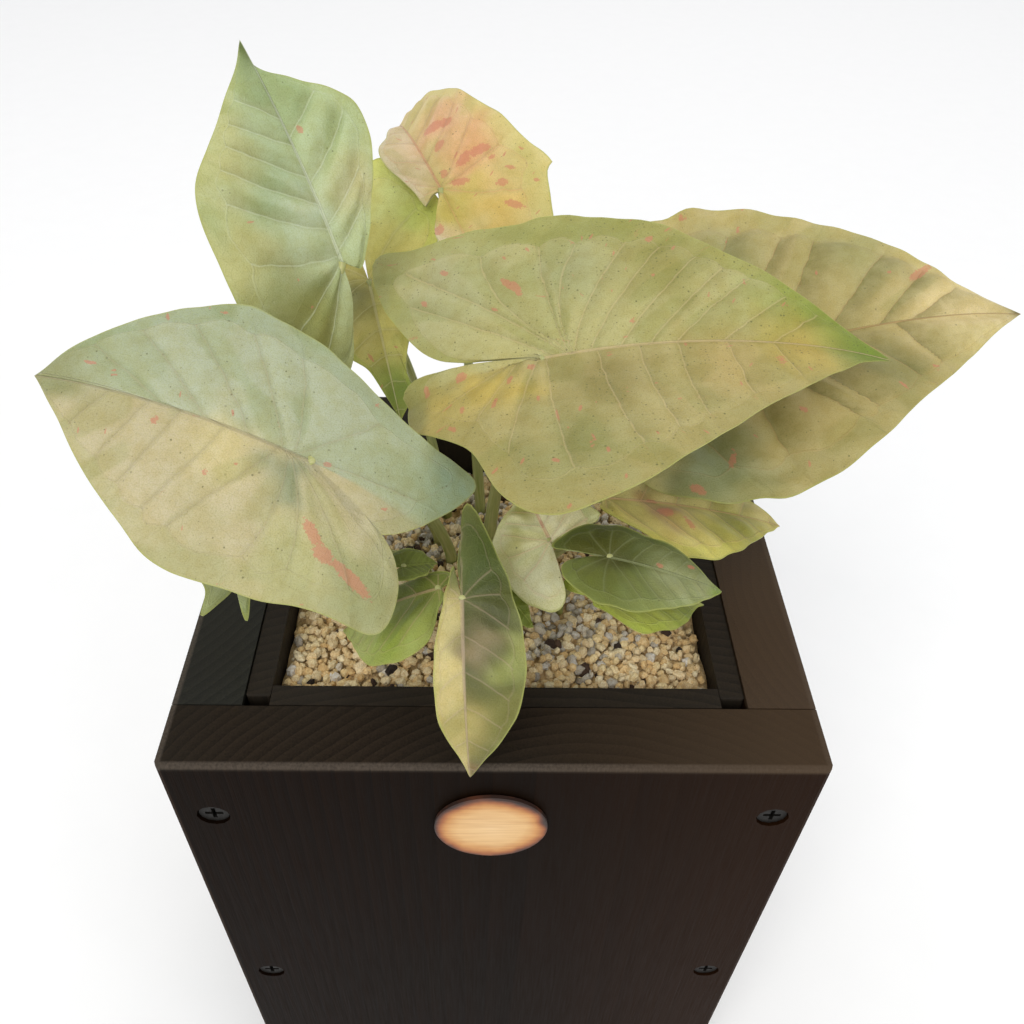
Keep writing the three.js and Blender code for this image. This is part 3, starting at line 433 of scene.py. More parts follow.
def leaf_parts(leaf, index):
    """A leaf as mesh parts: rings of its outline shrunk towards the stalk, on an upper and a lower
    face half a thickness from the curved surface and joined round the margin, and the stalk."""
    count, rings = leaf["detail"]
    left = margin(leaf, leaf["left"], 1, count // 2 + 1)[::-1]
    right = margin(leaf, leaf["right"], -1, count // 2 + 1)[1:-1]
    loop = np.vstack([left, right])
    total = len(loop)
    wave = swell(np.arange(total) * 360 / total, np.zeros(total), 23, index) * 0.25
    wave[[0, len(left) - 1]] = 0
    loop = loop * (1 + wave[:, None] / np.linalg.norm(loop, axis=1, keepdims=True).clip(4))
    share = np.linspace(0, 1, rings + 1)[1:, None, None]
    flat = np.vstack([[(0, 0)], (loop[None] * share).reshape(-1, 2)])
    radial = np.concatenate([[0], np.repeat(share.ravel(), total)])
    u, v = flat.T

    # How far out each point is, from the midrib or, in the lobes, from the stalk.
    length = leaf["length"]
    front_left = left[np.argmax(left[:, 0] > 0):]
    front_right = right[:np.argmax(right[:, 0] < 0)]
    half = np.where(v >= 0, np.interp(u, front_left[:, 0], front_left[:, 1]),
                    np.interp(-u, -front_right[:, 0], -front_right[:, 1]))
    outward = np.abs(v) / half.clip(0.2)
    ahead = smooth(0, 0.25 * length, u)
    outward = np.clip(radial * (1 - ahead) + outward * ahead, 0, 1)
    outward = np.where(radial >= 1, 1, outward)
    number, gap = vein_field(leaf, u, v)
    phase = number - np.floor(number)
    ring_vein = 0.76 + 0.06 * np.sin(np.pi * phase)
    reach = by_side(leaf, v, "width") * (0.35 + 0.65 * smooth(length, 0.3 * length, u))
    rim = (outward - ring_vein) * reach
    from_rib = np.where(u >= 0, np.abs(v), np.hypot(u, v))

    # Relief: the blade swells between its veins, and the midrib lies in a channel.
    inside = smooth(1, -3, rim) * smooth(0.5, 5, from_rib)
    puffed = leaf["quilt"] * (0.5 - 0.5 * np.cos(2 * np.pi * phase)) * inside
    band = smooth(-1, 3, rim) * swell(u, v, 11, index + 40) * 0.35 * leaf["quilt"] ** 0.5
    channel = -0.3 * np.exp(-((from_rib / 1.1) ** 2)) * smooth(length, 0.5 * length, u)
    relief = puffed + band + channel + 0.18 * swell(u, v, 17, index + 80) * smooth(0, 4, from_rib)

    probe = 0.3
    along = on_blade(leaf, u + probe, v) - on_blade(leaf, u - probe, v)
    over = on_blade(leaf, u, v + probe) - on_blade(leaf, u, v - probe)
    normal = np.cross(along, over)
    normal /= np.linalg.norm(normal, axis=1, keepdims=True)
    middle = on_blade(leaf, u, v) + normal * relief[:, None]
    thick = BLADE_THICKNESS + (MARGIN_THICKNESS - BLADE_THICKNESS) * smooth(0.8, 1, radial)
    lift = normal * thick[:, None] / 2

    ring = 1 + np.arange(rings)[:, None] * total + np.arange(total)[None]
    beside = np.roll(ring, -1, axis=1)
    quads = np.stack([ring[:-1], beside[:-1], beside[1:], ring[1:]], -1).reshape(-1, 4)
    fan = np.stack([np.zeros(total, int), beside[0], ring[0]], -1)

    tone, band_tone = tones_of(leaf, u, v, index)
    blush = blotch_field(leaf, u, v)
    half_rib = 0.2 + 0.38 * smooth(length, 0, u)
    data = {
        "flat": np.stack([u + LEAF_STEP * index, v, outward], -1),
        "vein": np.stack([number, gap, rim], -1),
        "rib": np.stack([from_rib / half_rib, blush, 0 * u + leaf["specks"]], -1),
        "tone": tone, "band": band_tone,
        "rib_tone": np.broadcast_to(linear(leaf["rib"]), tone.shape),
        # draw holds the share of flecks, the distance in from the margin and how much painted shade
        # darkens the panels ahead of the side veins.
        "draw": np.stack([0 * u + leaf["flecks"], (1 - outward) * reach,
                          0 * u + leaf.get("panel_shade", 0.1)], -1),
    }
    upper = dict(points=middle + lift, faces=[quads[:, ::-1], fan[:, ::-1]], slot=0, data=data)
    lower = dict(points=middle - lift, faces=[quads, fan], slot=1, data=data)
    both = {key: np.vstack([value[-total:], value[-total:]]) for key, value in data.items()}
    rim_faces = np.stack([np.arange(total), np.roll(np.arange(total), -1)], -1)
    rim_faces = np.concatenate([rim_faces, rim_faces[:, ::-1] + total], -1)
    edge = dict(points=np.vstack([(middle + lift)[-total:], (middle - lift)[-total:]]),
                faces=[rim_faces], slot=0, data=both)
    return [upper, lower, edge, stalk_part(leaf, index)]


def tones_of(leaf, u, v, index):
    """The blade's tone and that of its marginal band at each point: each half has its own, shifted
    towards each soft patch by a bell curve of the distance to its middle, which wanders a little."""
    left, right = (np.array(linear(code)) for code in leaf["tones"])
    outer_left, outer_right = (np.array(linear(code)) for code in leaf["bands"])
    is_left = smooth(-0.3, 0.3, v)[:, None]
    tone = right + (left - right) * is_left
    band = outer_right + (outer_left - outer_right) * is_left
    wander = 2.5 * swell(u, v, 14, index + 7)
    for pu, pv, reach, code in leaf["patches"]:
        away = ((u - pu + wander) / reach) ** 2 + ((v - pv - wander) / reach) ** 2
        share = np.exp(-away ** 1.3)[:, None]
        tone = tone + (np.array(linear(code)) - tone) * share
        band = band + (np.array(linear(code)) - band) * share * 0.8
    return tone, band


def blotch_field(leaf, u, v):
    """1 in the middle of a pink blotch, falling to 0 at its outline and on below: the largest of
    1 less the distance from each ellipse's middle in its own half-axes."""
    field = np.full(u.shape, -1.0)
    for bu, bv, long, wide, turn in leaf["blotches"]:
        c, s = np.cos(np.radians(turn)), np.sin(np.radians(turn))
        du, dv = u - bu, v - bv
        away = np.hypot((c * du + s * dv) / long, (-s * du + c * dv) / wide)
        field = np.maximum(field, 1 - away)
    return field


def bed_height(x, y):
    """The substrate's surface: a slope, a broad swell and slanting furrows."""
    swells = np.sin(0.31 * x + 1.3) * np.cos(0.27 * y + 0.4)
    return BED_TOP - 0.06 * y + 0.9 * (swells + 0.6 * np.sin(0.74 * x - 0.53 * y))


def stalk_line(leaf):
    """The stalk's middle line: upright out of the substrate, then over to the blade."""
    x, y = leaf["foot"]
    bed = bed_height(x, y)
    out, top = np.array([x, y, bed + 2]), np.array(leaf["at"], float)
    bend = out + (top - out) * (0.42, 0.42, 0.64)
    way = leaf.get("by") or [bend]
    return evenly(curve([(x, y, bed - 13), (x, y, bed - 7), out, *way, top], 24, 0.5), STALK_RINGS)


def stalk_part(leaf, index):
    """The stalk: a round profile carried along its line without turning about it, narrowing to the
    blade, with a flat groove on its inner side and two low wings round its lower half."""
    line = stalk_line(leaf)
    ahead = np.gradient(line, axis=0)
    ahead /= np.linalg.norm(ahead, axis=1, keepdims=True)
    over = np.cross(ahead, np.cross([1.0, 0.3, 0], ahead))
    over /= np.linalg.norm(over, axis=1, keepdims=True)
    aside = np.cross(ahead, over)
    share = np.linspace(0, 1, len(line))[:, None]
    base, top = leaf["stalk"]
    angle = np.linspace(0, 2 * np.pi, STALK_SIDES, endpoint=False)[None]
    radius = base + (top - base) * share
    groove = 1 - 0.18 * np.exp(-((angle - np.pi) / 0.5) ** 2)
    wing = 1 + 0.35 * smooth(0.62, 0.2, share) * (np.exp(-((angle - 2.4) / 0.25) ** 2)
                                                 + np.exp(-((angle - 3.9) / 0.25) ** 2))
    radius = (radius * groove * wing)[..., None]
    outwards = np.cos(angle)[..., None] * over[:, None] + np.sin(angle)[..., None] * aside[:, None]
    points = line[:, None] + radius * outwards
    count = len(line)
    ring = np.arange(count)[:, None] * STALK_SIDES + np.arange(STALK_SIDES)[None]
    beside = np.roll(ring, -1, axis=1)
    quads = np.stack([ring[:-1], beside[:-1], beside[1:], ring[1:]], -1).reshape(-1, 4)
    points = np.vstack([points.reshape(-1, 3), line[:1], line[-1:]])
    ends = count * STALK_SIDES
    low = np.stack([beside[0], ring[0], np.full(STALK_SIDES, ends)], -1)
    high = np.stack([ring[-1], beside[-1], np.full(STALK_SIDES, ends + 1)], -1)
    green, pale = np.array(linear("#7F8C3E")), np.array(linear("#A9AC6C"))
    fade = np.concatenate([np.repeat(share.ravel(), STALK_SIDES), [0, 1]])[:, None]
    tone = green + (pale - green) * (0.25 + 0.6 * fade + 0.12 * np.sin(index * 2.1))
    around = np.concatenate([np.tile(angle.ravel(), count), [0, 0]])
    flat = np.stack([fade.ravel() * 60 + LEAF_STEP * index, np.cos(around), np.sin(around)], -1)
    return dict(points=points, faces=[quads, low, high], slot=2, data={"flat": flat, "tone": tone})


def make(name, parts, materials, shade_smooth=True):
    """Puts mesh parts into one object at the origin, in metres, with their named data on its
    points."""
    mesh = bpy.data.meshes.new(name)
    points = np.vstack([part["points"] for part in parts]) / 1000
    starts = np.cumsum([0] + [len(part["points"]) for part in parts])
    faces = [(face + start, part["slot"])
             for part, start in zip(parts, starts) for face in part["faces"]]
    corners = np.concatenate([face.ravel() for face, _ in faces])
    sizes = np.concatenate([np.full(len(face), face.shape[1]) for face, _ in faces])
    mesh.vertices.add(len(points))
    mesh.vertices.foreach_set("co", points.ravel())
    mesh.loops.add(len(corners))
    mesh.loops.foreach_set("vertex_index", corners.astype(np.int32))
    mesh.polygons.add(len(sizes))
    mesh.polygons.foreach_set("loop_start", (np.cumsum(sizes) - sizes).astype(np.int32))
    mesh.polygons.foreach_set("loop_total", sizes.astype(np.int32))
    slots = np.concatenate([np.full(len(face), slot) for face, slot in faces])
    mesh.polygons.foreach_set("material_index", slots.astype(np.int32))
    mesh.update(calc_edges=True)
    mesh.polygons.foreach_set("use_smooth", np.full(len(sizes), shade_smooth))
    for key in sorted({key for part in parts for key in part["data"]}):
        width = next(part["data"][key].shape[1] for part in parts if key in part["data"])
        values = np.vstack([part["data"].get(key, np.zeros((len(part["points"]), width)))
                            for part in parts])
        colour = width == 4
        held = mesh.attributes.new(key, "FLOAT_COLOR" if colour else "FLOAT_VECTOR", "POINT")
        held.data.foreach_set("color" if colour else "vector", values.ravel().astype(np.float32))
    for material in materials:
        mesh.materials.append(material)
    mesh.validate()
    piece = bpy.data.objects.new(name, mesh)
    bpy.context.scene.collection.objects.link(piece)
    return piece


# ---- finishes ----

# Settings that many nodes share.
ADD, SUBTRACT, MULTIPLY, MULTIPLY_ADD, LESS_THAN, MAXIMUM = (
    {"operation": kind}
    for kind in ("ADD", "SUBTRACT", "MULTIPLY", "MULTIPLY_ADD", "LESS_THAN", "MAXIMUM"))
EASED = {"interpolation_type": "SMOOTHSTEP"}
# A Mix node of colours: its factor and its colours A and B are inputs 0, 6 and 7, and the mixed
# colour is output 2.
F, A, B, MIXED = 0, 6, 7, 2
COLOUR = {"data_type": "RGBA"}
TINT = {"data_type": "RGBA", "blend_type": "MULTIPLY"}
FLAT = {"voronoi_dimensions": "2D"}


def finish(name):
    """A new material, its shader, and the function that adds a node to it."""
    material = bpy.data.materials.new(name)
    material.use_nodes = True
    tree = material.node_tree
    return material, tree.nodes["Principled BSDF"], partial(put, tree)


def living_leaf(name, underneath):
    """Living leaf: a thin, softly shining skin. Tone from the leaf's own data, paler veins sunk in
    it, a net of fine veins, dark specks, and pink blotches where the green is missing. The
    underside is paler and duller, and its veins stand out."""
    material, shader, add = finish(name)
    flat, vein, rib, draw = (add("Attribute", {}, attribute_name=key)["Vector"]
                             for key in ("flat", "vein", "rib", "draw"))
    tone, band, rib_tone = (add("Attribute", {}, attribute_name=key)["Color"]
                            for key in ("tone", "band", "rib_tone"))
    along, across, _ = add("SeparateXYZ", [flat])
    number, gap, rim = add("SeparateXYZ", [vein])
    off_rib, blush, speckled = add("SeparateXYZ", [rib])
    flecked, to_margin, panel_shade_share = add("SeparateXYZ", [draw])
    flat = add("CombineXYZ", [along, across])[0]

    # Side veins, midrib and the vein that joins them inside the margin.
    wobble = add("TexNoise", {"Vector": flat, "Scale": 0.16, "Detail": 2.0})[0]
    sway = add("Math", [wobble, 0.16, -0.08], **MULTIPLY_ADD)[0]
    number = add("Math", [number, sway], **ADD)[0]
    away = add("Math", [number, 0.5], operation="PINGPONG")[0]
    away = add("Math", [away, gap], **MULTIPLY)[0]
    inner = add("MapRange", [rim, 0.0, 0.4, 1.0, 0.0], **EASED)[0]
    lateral = add("MapRange", [away, 0.06, 0.3, 1.0, 0.0], **EASED)[0]
    lateral = add("Math", [lateral, inner], **MULTIPLY)[0]
    lateral_soft = add("MapRange", [away, 0.0, 1.2, 1.0, 0.0], **EASED)[0]
    sway = add("Math", [wobble, 2.0, -1.0], **MULTIPLY_ADD)[0]
    past_rim = add("Math", [rim, sway], **ADD)[0]
    off_joining = add("Math", [past_rim], operation="ABSOLUTE")[0]
    joining = add("MapRange", [off_joining, 0.05, 0.3, 1.0, 0.0], **EASED)[0]
    midrib = add("MapRange", [off_rib, 0.45, 1.0, 1.0, 0.0], **EASED)[0]
    # Net of finer veins, cells of about 2 and 0.8 mm.
    warp = add("TexNoise", {"Vector": flat, "Scale": 0.35, "Detail": 1.0})[1]
    bent = add("VectorMath", [warp, (2.0, 2.0, 0.0), flat], **MULTIPLY_ADD)[0]
    net, fine = (add("TexVoronoi", {"Vector": bent, "Scale": scale}, feature="DISTANCE_TO_EDGE",
                     **FLAT)["Distance"] for scale in (0.42, 1.3))
    net_line = add("MapRange", [net, 0.02, 0.09, 1.0, 0.0], **EASED)[0]
    fine_line = add("MapRange", [fine, 0.02, 0.16, 1.0, 0.0], **EASED)[0]
    grain = add("TexNoise", {"Vector": flat, "Scale": 3.2, "Detail": 3.0})[0]
    cloud = add("TexNoise", {"Vector": flat, "Scale": 0.22, "Detail": 4.0, "Roughness": 0.6})[0]

    # Tone: the marginal band outside the joining vein, then painted shade on the panels between two
    # side veins, darkest just ahead of each vein, standing in for the shading of the quilted relief.
    outside = add("MapRange", [past_rim, -0.4, 0.8, 0.0, 1.0], **EASED)[0]
    outside = add("Math", [outside, 0.7], **MULTIPLY)[0]
    tone = add("Mix", {F: outside, A: tone, B: band}, **COLOUR)[MIXED]
    past_vein = add("Math", [number], operation="FRACT")[0]
    panel_shade = add("MapRange", [past_vein, 0.0, 0.85, 1.0, 0.0], **EASED)[0]
    for share in (panel_shade_share, add("MapRange", [rim, -3.0, 1.0, 1.0, 0.15], **EASED)[0],
                  add("MapRange", [cloud, 0.3, 0.7, 0.65, 1.0], **EASED)[0]):
        panel_shade = add("Math", [panel_shade, share], **MULTIPLY)[0]
    tone = add("Mix", {F: panel_shade, A: tone, B: linear("#6E6A38")}, **COLOUR)[MIXED]
    # Marbling in cells along the veins, in clouds and in the grain, and the net.
    cells = add("CombineXYZ", [add("Math", [number, 1.6], **MULTIPLY)[0],
                               add("Math", [across, 0.12], **MULTIPLY)[0], along])[0]
    cell = add("TexVoronoi", {"Vector": cells, "Scale": 0.9, "Smoothness": 0.6},
               feature="SMOOTH_F1", **FLAT)["Color"]
    cell_draw = add("SeparateXYZ", [cell])[0]
    for field, low, high, most, code in ((cell_draw, 0.3, 0.9, 0.4, "#D2DCB4"),
                                         (cloud, 0.35, 0.68, 0.5, "#EEE6C4"),
                                         (grain, 0.4, 0.75, 0.5, "#D0D4A8")):
        share = add("MapRange", [field, low, high, 0.0, most], **EASED)[0]
        tone = add("Mix", {F: share, A: tone, B: linear(code)}, **TINT)[MIXED]
    for field, code in ((net_line, "#8C8E5A"), (fine_line, "#7E8350")):
        share = add("Math", [field, 0.05], **MULTIPLY)[0]
        tone = add("Mix", {F: share, A: tone, B: linear(code)}, **COLOUR)[MIXED]
    # Specks of darker green, 0.1 to 0.5 mm, in loose clusters.
    speck = add("TexVoronoi", {"Vector": flat, "Scale": 1.0}, **FLAT)
    speck_draw, speck_size, speck_depth = add("SeparateXYZ", [speck["Color"]])
    crowd = add("TexNoise", {"Vector": flat, "Scale": 0.13, "Detail": 2.0})[0]
    crowd = add("MapRange", [crowd, 0.35, 0.65, 0.25, 1.5], **EASED)[0]
    chance = add("Math", [speckled, crowd], **MULTIPLY)[0]
    size = add("Math", [speck_size, 2.5], operation="POWER")[0]
    size = add("Math", [size, 0.2, 0.04], **MULTIPLY_ADD)[0]
    ring = add("Math", [grain, 0.2, speck["Distance"]], **MULTIPLY_ADD)[0]
    ring = add("Math", [ring, size], **SUBTRACT)[0]
    is_speck = add("Math", [speck_draw, chance], **LESS_THAN)[0]
    for share in (add("MapRange", [ring, 0.06, 0.15, 1.0, 0.0], **EASED)[0],
                  add("Math", [speck_depth, 0.5, 0.25], **MULTIPLY_ADD)[0]):
        is_speck = add("Math", [is_speck, share], **MULTIPLY)[0]
    tone = add("Mix", {F: is_speck, A: tone, B: linear("#5A5A30")}, **COLOUR)[MIXED]
    # Pink where the green is missing: the placed blotches and drawn flecks along the side veins.
    ragged = add("TexNoise", {"Vector": flat, "Scale": 1.3, "Detail": 3.0, "Roughness": 0.7})[0]
    ragged = add("Math", [ragged, 1.5, -0.75], **MULTIPLY_ADD)[0]
    placed = add("Math", [blush, ragged], **ADD)[0]
    placed = add("MapRange", [placed, 0.0, 0.14, 0.0, 1.0], **EASED)[0]
    run = add("Math", [number, gap], **MULTIPLY)[0]
    run = add("CombineXYZ", [add("Math", [run, 0.34], **MULTIPLY)[0],
                             add("Math", [across, 0.15], **MULTIPLY)[0], along])[0]
    fleck = add("TexVoronoi", {"Vector": run, "Scale": 1.0}, **FLAT)
    fleck_draw, fleck_size, _ = add("SeparateXYZ", [fleck["Color"]])
    fleck_size = add("Math", [fleck_size, 0.1, 0.04], **MULTIPLY_ADD)[0]
    off_fleck = add("Math", [ragged, 0.12, fleck["Distance"]], **MULTIPLY_ADD)[0]
    off_fleck = add("Math", [off_fleck, fleck_size], **SUBTRACT)[0]
    is_drawn = add("Math", [fleck_draw, flecked], **LESS_THAN)[0]
    within = add("MapRange", [off_fleck, -0.02, 0.03, 1.0, 0.0], **EASED)[0]
    is_fleck = add("Math", [is_drawn, within], **MULTIPLY)[0]
    pink = add("Math", [placed, is_fleck], **MAXIMUM)[0]
    pink = add("Math", [pink, 0.9], **MULTIPLY)[0]
    rosy = add("Mix", {F: 0.62, A: tone, B: linear("#C0705C")}, **COLOUR)[MIXED]
    tone = add("Mix", {F: pink, A: tone, B: rosy}, **COLOUR)[MIXED]
    # Veins over all of it, painted shade beside the side veins, and a thin darker hem.
    line = add("Math", [midrib, 0.6], **MULTIPLY)[0]
    for field, most in ((lateral, 0.3), (joining, 0.14)):
        line = add("Math", [line, add("Math", [field, most], **MULTIPLY)[0]], **MAXIMUM)[0]
    tone = add("Mix", {F: line, A: tone, B: rib_tone}, **COLOUR)[MIXED]
    # Painted shade: a soft darker band on either side of each side vein, where its groove would be
    # shaded.
    vein_groove_shade = add("Math", [lateral_soft, lateral], **SUBTRACT)[0]
    vein_groove_shade = add("Math", [vein_groove_shade, add("Math", [inner, 0.14], **MULTIPLY)[0]], **MULTIPLY)[0]
    tone = add("Mix", {F: vein_groove_shade, A: tone, B: linear("#6F7040")}, **COLOUR)[MIXED]
    hem = add("MapRange", [to_margin, 0.1, 0.5, 0.55, 0.0], **EASED)[0]
    tone = add("Mix", {F: hem, A: tone, B: linear("#9CA055")}, **COLOUR)[MIXED]
    if underneath:
        tone = add("Mix", {F: 0.35, A: tone, B: linear("#C3CBA4")}, **COLOUR)[MIXED]

    depth = 0.0
    for field, share in ((lateral_soft, -0.14), (lateral, -0.07), (net_line, -0.04),
                         (fine_line, -0.02), (joining, -0.08), (grain, 0.07), (midrib, -0.2)):
        depth = add("Math", [field, share, depth], **MULTIPLY_ADD)[0]
    feed(shader, {
        "Base Color": tone,
        "Roughness": add("Math", [grain, 0.16, 0.55 if underneath else 0.4], **MULTIPLY_ADD)[0],
        "IOR": 1.42, "Specular IOR Level": 0.3 if underneath else 0.42,
        "Subsurface Weight": 0.22, "Subsurface Radius": (1.0, 1.0, 0.45), "Subsurface Scale": 0.0008,
        "Normal": add("Bump", {"Strength": 0.8, "Distance": 0.001, "Height": depth},
                      invert=underneath)[0]})
    return material


def leaf_stalk():
    """Living leaf stalk: smooth and waxy, green with lengthwise paler streaks."""
    material, shader, add = finish("leaf stalk, waxy green")
    tone = add("Attribute", {}, attribute_name="tone")["Color"]
    flat = add("Attribute", {}, attribute_name="flat")["Vector"]
    long = add("VectorMath", [flat, (0.12, 2.2, 2.2)], **MULTIPLY)[0]
    streak = add("TexNoise", {"Vector": long, "Scale": 1.6, "Detail": 3.0})[0]
    share = add("MapRange", [streak, 0.35, 0.7, 0.0, 0.6])[0]
    feed(shader, {
        "Base Color": add("Mix", {F: share, A: tone, B: linear("#C4BE88")}, **COLOUR)[MIXED],
        "Roughness": 0.38,
        "Subsurface Weight": 0.2, "Subsurface Radius": (1.0, 1.0, 0.4), "Subsurface Scale": 0.001,
        "Normal": add("Bump", {"Strength": 0.5, "Distance": 0.0003, "Height": streak})[0]})
    return material


def millimetres(add):
    """Object coordinates in millimetres."""
    place = add("TexCoord", {})["Object"]
    return add("VectorMath", {0: place, "Scale": 1000.0}, operation="SCALE")[0]


def stained_wood(name, dark, warm, pith, rough, outer, gloss):
    """Planed softwood, stained black and rubbed: growth rings round a pith line that runs up the
    board, so that they are arches on the end grain and lines on the faces, and long fine pores.
    On the outer boards the stain is rubbed thin on the planed edges, which also carry a painted
    highlight; painted warm light browns the right, and painted shade darkens the upright faces."""
    material, shader, add = finish(name)
    place = millimetres(add)
    drawn = add("VectorMath", [place, pith], **SUBTRACT)[0]
    drawn = add("VectorMath", [drawn, (1.0, 1.0, 0.12)], **MULTIPLY)[0]
    # Growth rings about 2.6 mm apart.
    rings = add("TexWave", {"Vector": drawn, "Scale": 0.12, "Distortion": 3.0, "Detail": 2.0,
                            "Detail Scale": 0.3},
                wave_type="RINGS", rings_direction="Z", wave_profile="SAW")[0]
    long = add("VectorMath", [place, (1.0, 1.0, 0.03)], **MULTIPLY)[0]
    pores = add("TexNoise", {"Vector": long, "Scale": 1.8, "Detail": 4.0, "Roughness": 0.65})[0]
    cloud = add("TexNoise", {"Vector": place, "Scale": 0.018, "Detail": 3.0})[0]
    share = add("Math", [rings, 0.4, pores], **MULTIPLY_ADD)[0]
    share = add("MapRange", [share, 0.35, 1.05])[0]
    tone = add("Mix", {F: share, A: linear(dark), B: linear(warm)}, **COLOUR)[MIXED]
    patch = add("MapRange", [cloud, 0.4, 0.65, 0.0, 0.5])[0]
    tone = add("Mix", {F: patch, A: tone, B: linear("#24221D")}, **COLOUR)[MIXED]
    if outer:
        # The eased outer edges: where two of the three distances to the outer faces are small.
        axes = add("SeparateXYZ", [place])
        near = []
        halves = (WIDTH / 2, DEPTH / 2, HEIGHT / 2)
        for axis, centre, half in zip(axes, (0.0, 0.0, HEIGHT / 2), halves):
            off = add("Math", [axis, centre], **SUBTRACT)[0]
            off = add("Math", [off], operation="ABSOLUTE")[0]
            near.append(add("MapRange", [off, half - EASE - 0.3, half - EASE + 0.3])[0])
        edge = 0.0
        for first, second in ((0, 1), (1, 2), (0, 2)):
            both = add("Math", [near[first], near[second]], **MULTIPLY)[0]
            edge = add("Math", [both, edge], **MAXIMUM)[0]
        # Lighter grey-brown on the eased edges: the stain rubbed thin there, and a painted highlight.
        rubbed = add("Math", [edge, pores], **MULTIPLY)[0]
        tone = add("Mix", {F: rubbed, A: tone, B: linear("#5A5148")}, **COLOUR)[MIXED]
        # Painted warm light: the boards grow browner towards the right.
        painted_warm_light = add("MapRange", [axes[0], 5.0, 65.0, 0.0, 0.6])[0]
        tone = add("Mix", {F: painted_warm_light, A: tone, B: linear("#4C3C2C")}, **COLOUR)[MIXED]
        # Painted shade: everything below the top face is darker and warmer.
        below = add("MapRange", [axes[2], HEIGHT - EASE, HEIGHT - EASE - 1.0])[0]
        tone = add("Mix", {F: below, A: tone, B: linear("#8E6E50")}, **TINT)[MIXED]
    height = add("Math", [rings, 0.25, pores], **MULTIPLY_ADD)[0]
    feed(shader, {
        "Base Color": tone,
        "Roughness": add("Math", [pores, 0.3, rough - 0.15], **MULTIPLY_ADD)[0],
        "Specular IOR Level": gloss,
        "Normal": add("Bump", {"Strength": 0.35, "Distance": 0.0003, "Height": height})[0]})
    return material


def raw_softwood():
    """Sawn softwood without finish: warm brown, matt, with coarse saw marks across it."""
    material, shader, add = finish("sawn softwood")
    long = add("VectorMath", [millimetres(add), (1.0, 0.04, 1.0)], **MULTIPLY)[0]
    grain = add("TexNoise", {"Vector": long, "Scale": 1.1, "Detail": 4.0})[0]
    feed(shader, {
        "Base Color": add("Mix", {F: grain, A: linear("#8A5F38"), B: linear("#C49A66")},
                          **COLOUR)[MIXED],
        "Roughness": 0.8,
        "Normal": add("Bump", {"Strength": 0.6, "Distance": 0.0004, "Height": grain})[0]})
    return material


def scorched_disc():
    """Sanded birch disc, cut by a hot beam: cream face with faint grain, scorched orange-brown
    towards the rim and dark on its edge."""
    material, shader, add = finish("sanded birch, scorched rim")
    place = millimetres(add)
    flat = add("VectorMath", [place, (DISC_X, 0.0, DISC_Z)], **SUBTRACT)[0]
    flat = add("VectorMath", [flat, (1.0, 0.0, 1.0)], **MULTIPLY)[0]
    out = add("VectorMath", [flat], operation="LENGTH")["Value"]
    uneven = add("TexNoise", {"Vector": place, "Scale": 0.16, "Detail": 2.0})[0]
    out = add("Math", [uneven, 3.2, out], **MULTIPLY_ADD)[0]
    scorch = add("ValToRGB", [add("Math", [out, DISC_RADIUS + 1.6], operation="DIVIDE")[0]])[0]
    stops = [(0.0, "#DCBA88"), (0.62, "#D6AE76"), (0.8, "#C48E50"), (0.9, "#9C5C2C"),
             (0.96, "#603218"), (1.0, "#2E1A10")]
    elements = scorch.node.color_ramp.elements
    while len(elements) < len(stops):
        elements.new(0.5)
    for element, (position, code) in zip(elements, stops):
        element.position, element.color = position, linear(code)
    long = add("VectorMath", [place, (0.05, 1.0, 1.0)], **MULTIPLY)[0]
    grain = add("TexNoise", {"Vector": long, "Scale": 1.5, "Detail": 4.0})[0]
    share = add("MapRange", [grain, 0.4, 0.75, 0.0, 0.35])[0]
    feed(shader, {
        "Base Color": add("Mix", {F: share, A: scorch, B: linear("#B98850")}, **TINT)[MIXED],
        "Roughness": 0.55,
        "Normal": add("Bump", {"Strength": 0.4, "Distance": 0.0002, "Height": grain})[0]})
    return material


def painted_screw():
    """Zinc-plated steel screw, painted over in black with the boards: satin, a little uneven."""
    material, shader, add = finish("steel screw, painted black")
    uneven = add("TexNoise", {"Vector": millimetres(add), "Scale": 1.4, "Detail": 3.0})[0]
    feed(shader, {
        "Base Color": add("Mix", {F: uneven, A: linear("#0E0D0B"), B: linear("#1C1A17")},
                          **COLOUR)[MIXED],
        "Roughness": 0.5, "Specular IOR Level": 0.15,
        "Normal": add("Bump", {"Strength": 0.5, "Distance": 0.0002, "Height": uneven})[0]})
    return material


def stone_grit(name, rough):
    """Crushed stone or bark: each grain's own tone, with pits finer than the grain, which are
    darker and warmer in their hollows as painted shade.
    """
    material, shader, add = finish(name)
    tone = add("Attribute", {}, attribute_name="tone")["Color"]
    pits = add("TexNoise", {"Vector": millimetres(add), "Scale": 1.6, "Detail": 3.0,
                            "Roughness": 0.7})[0]
    # Painted shade: darker and warmer where the pits sink in.
    share = add("MapRange", [pits, 0.62, 0.35, 0.0, 0.55])[0]
    feed(shader, {
        "Base Color": add("Mix", {F: share, A: tone, B: linear("#D2B684")}, **TINT)[MIXED],
        "Roughness": rough,
        "Normal": add("Bump", {"Strength": 0.9, "Distance": 0.0006, "Height": pits})[0]})
    return material


def pale_floor():
    """Matt painted board, near white, with the faint unevenness of a roller."""
    material, shader, add = finish("white painted board")
    uneven = add("TexNoise", {"Vector": millimetres(add), "Scale": 0.05, "Detail": 3.0})[0]
    feed(shader, {
        "Base Color": add("Mix", {F: uneven, A: linear("#F9F9F8"), B: linear("#FCFCFB")},
                          **COLOUR)[MIXED],
        "Roughness": 0.85})
    return material


# ---- leaves ----

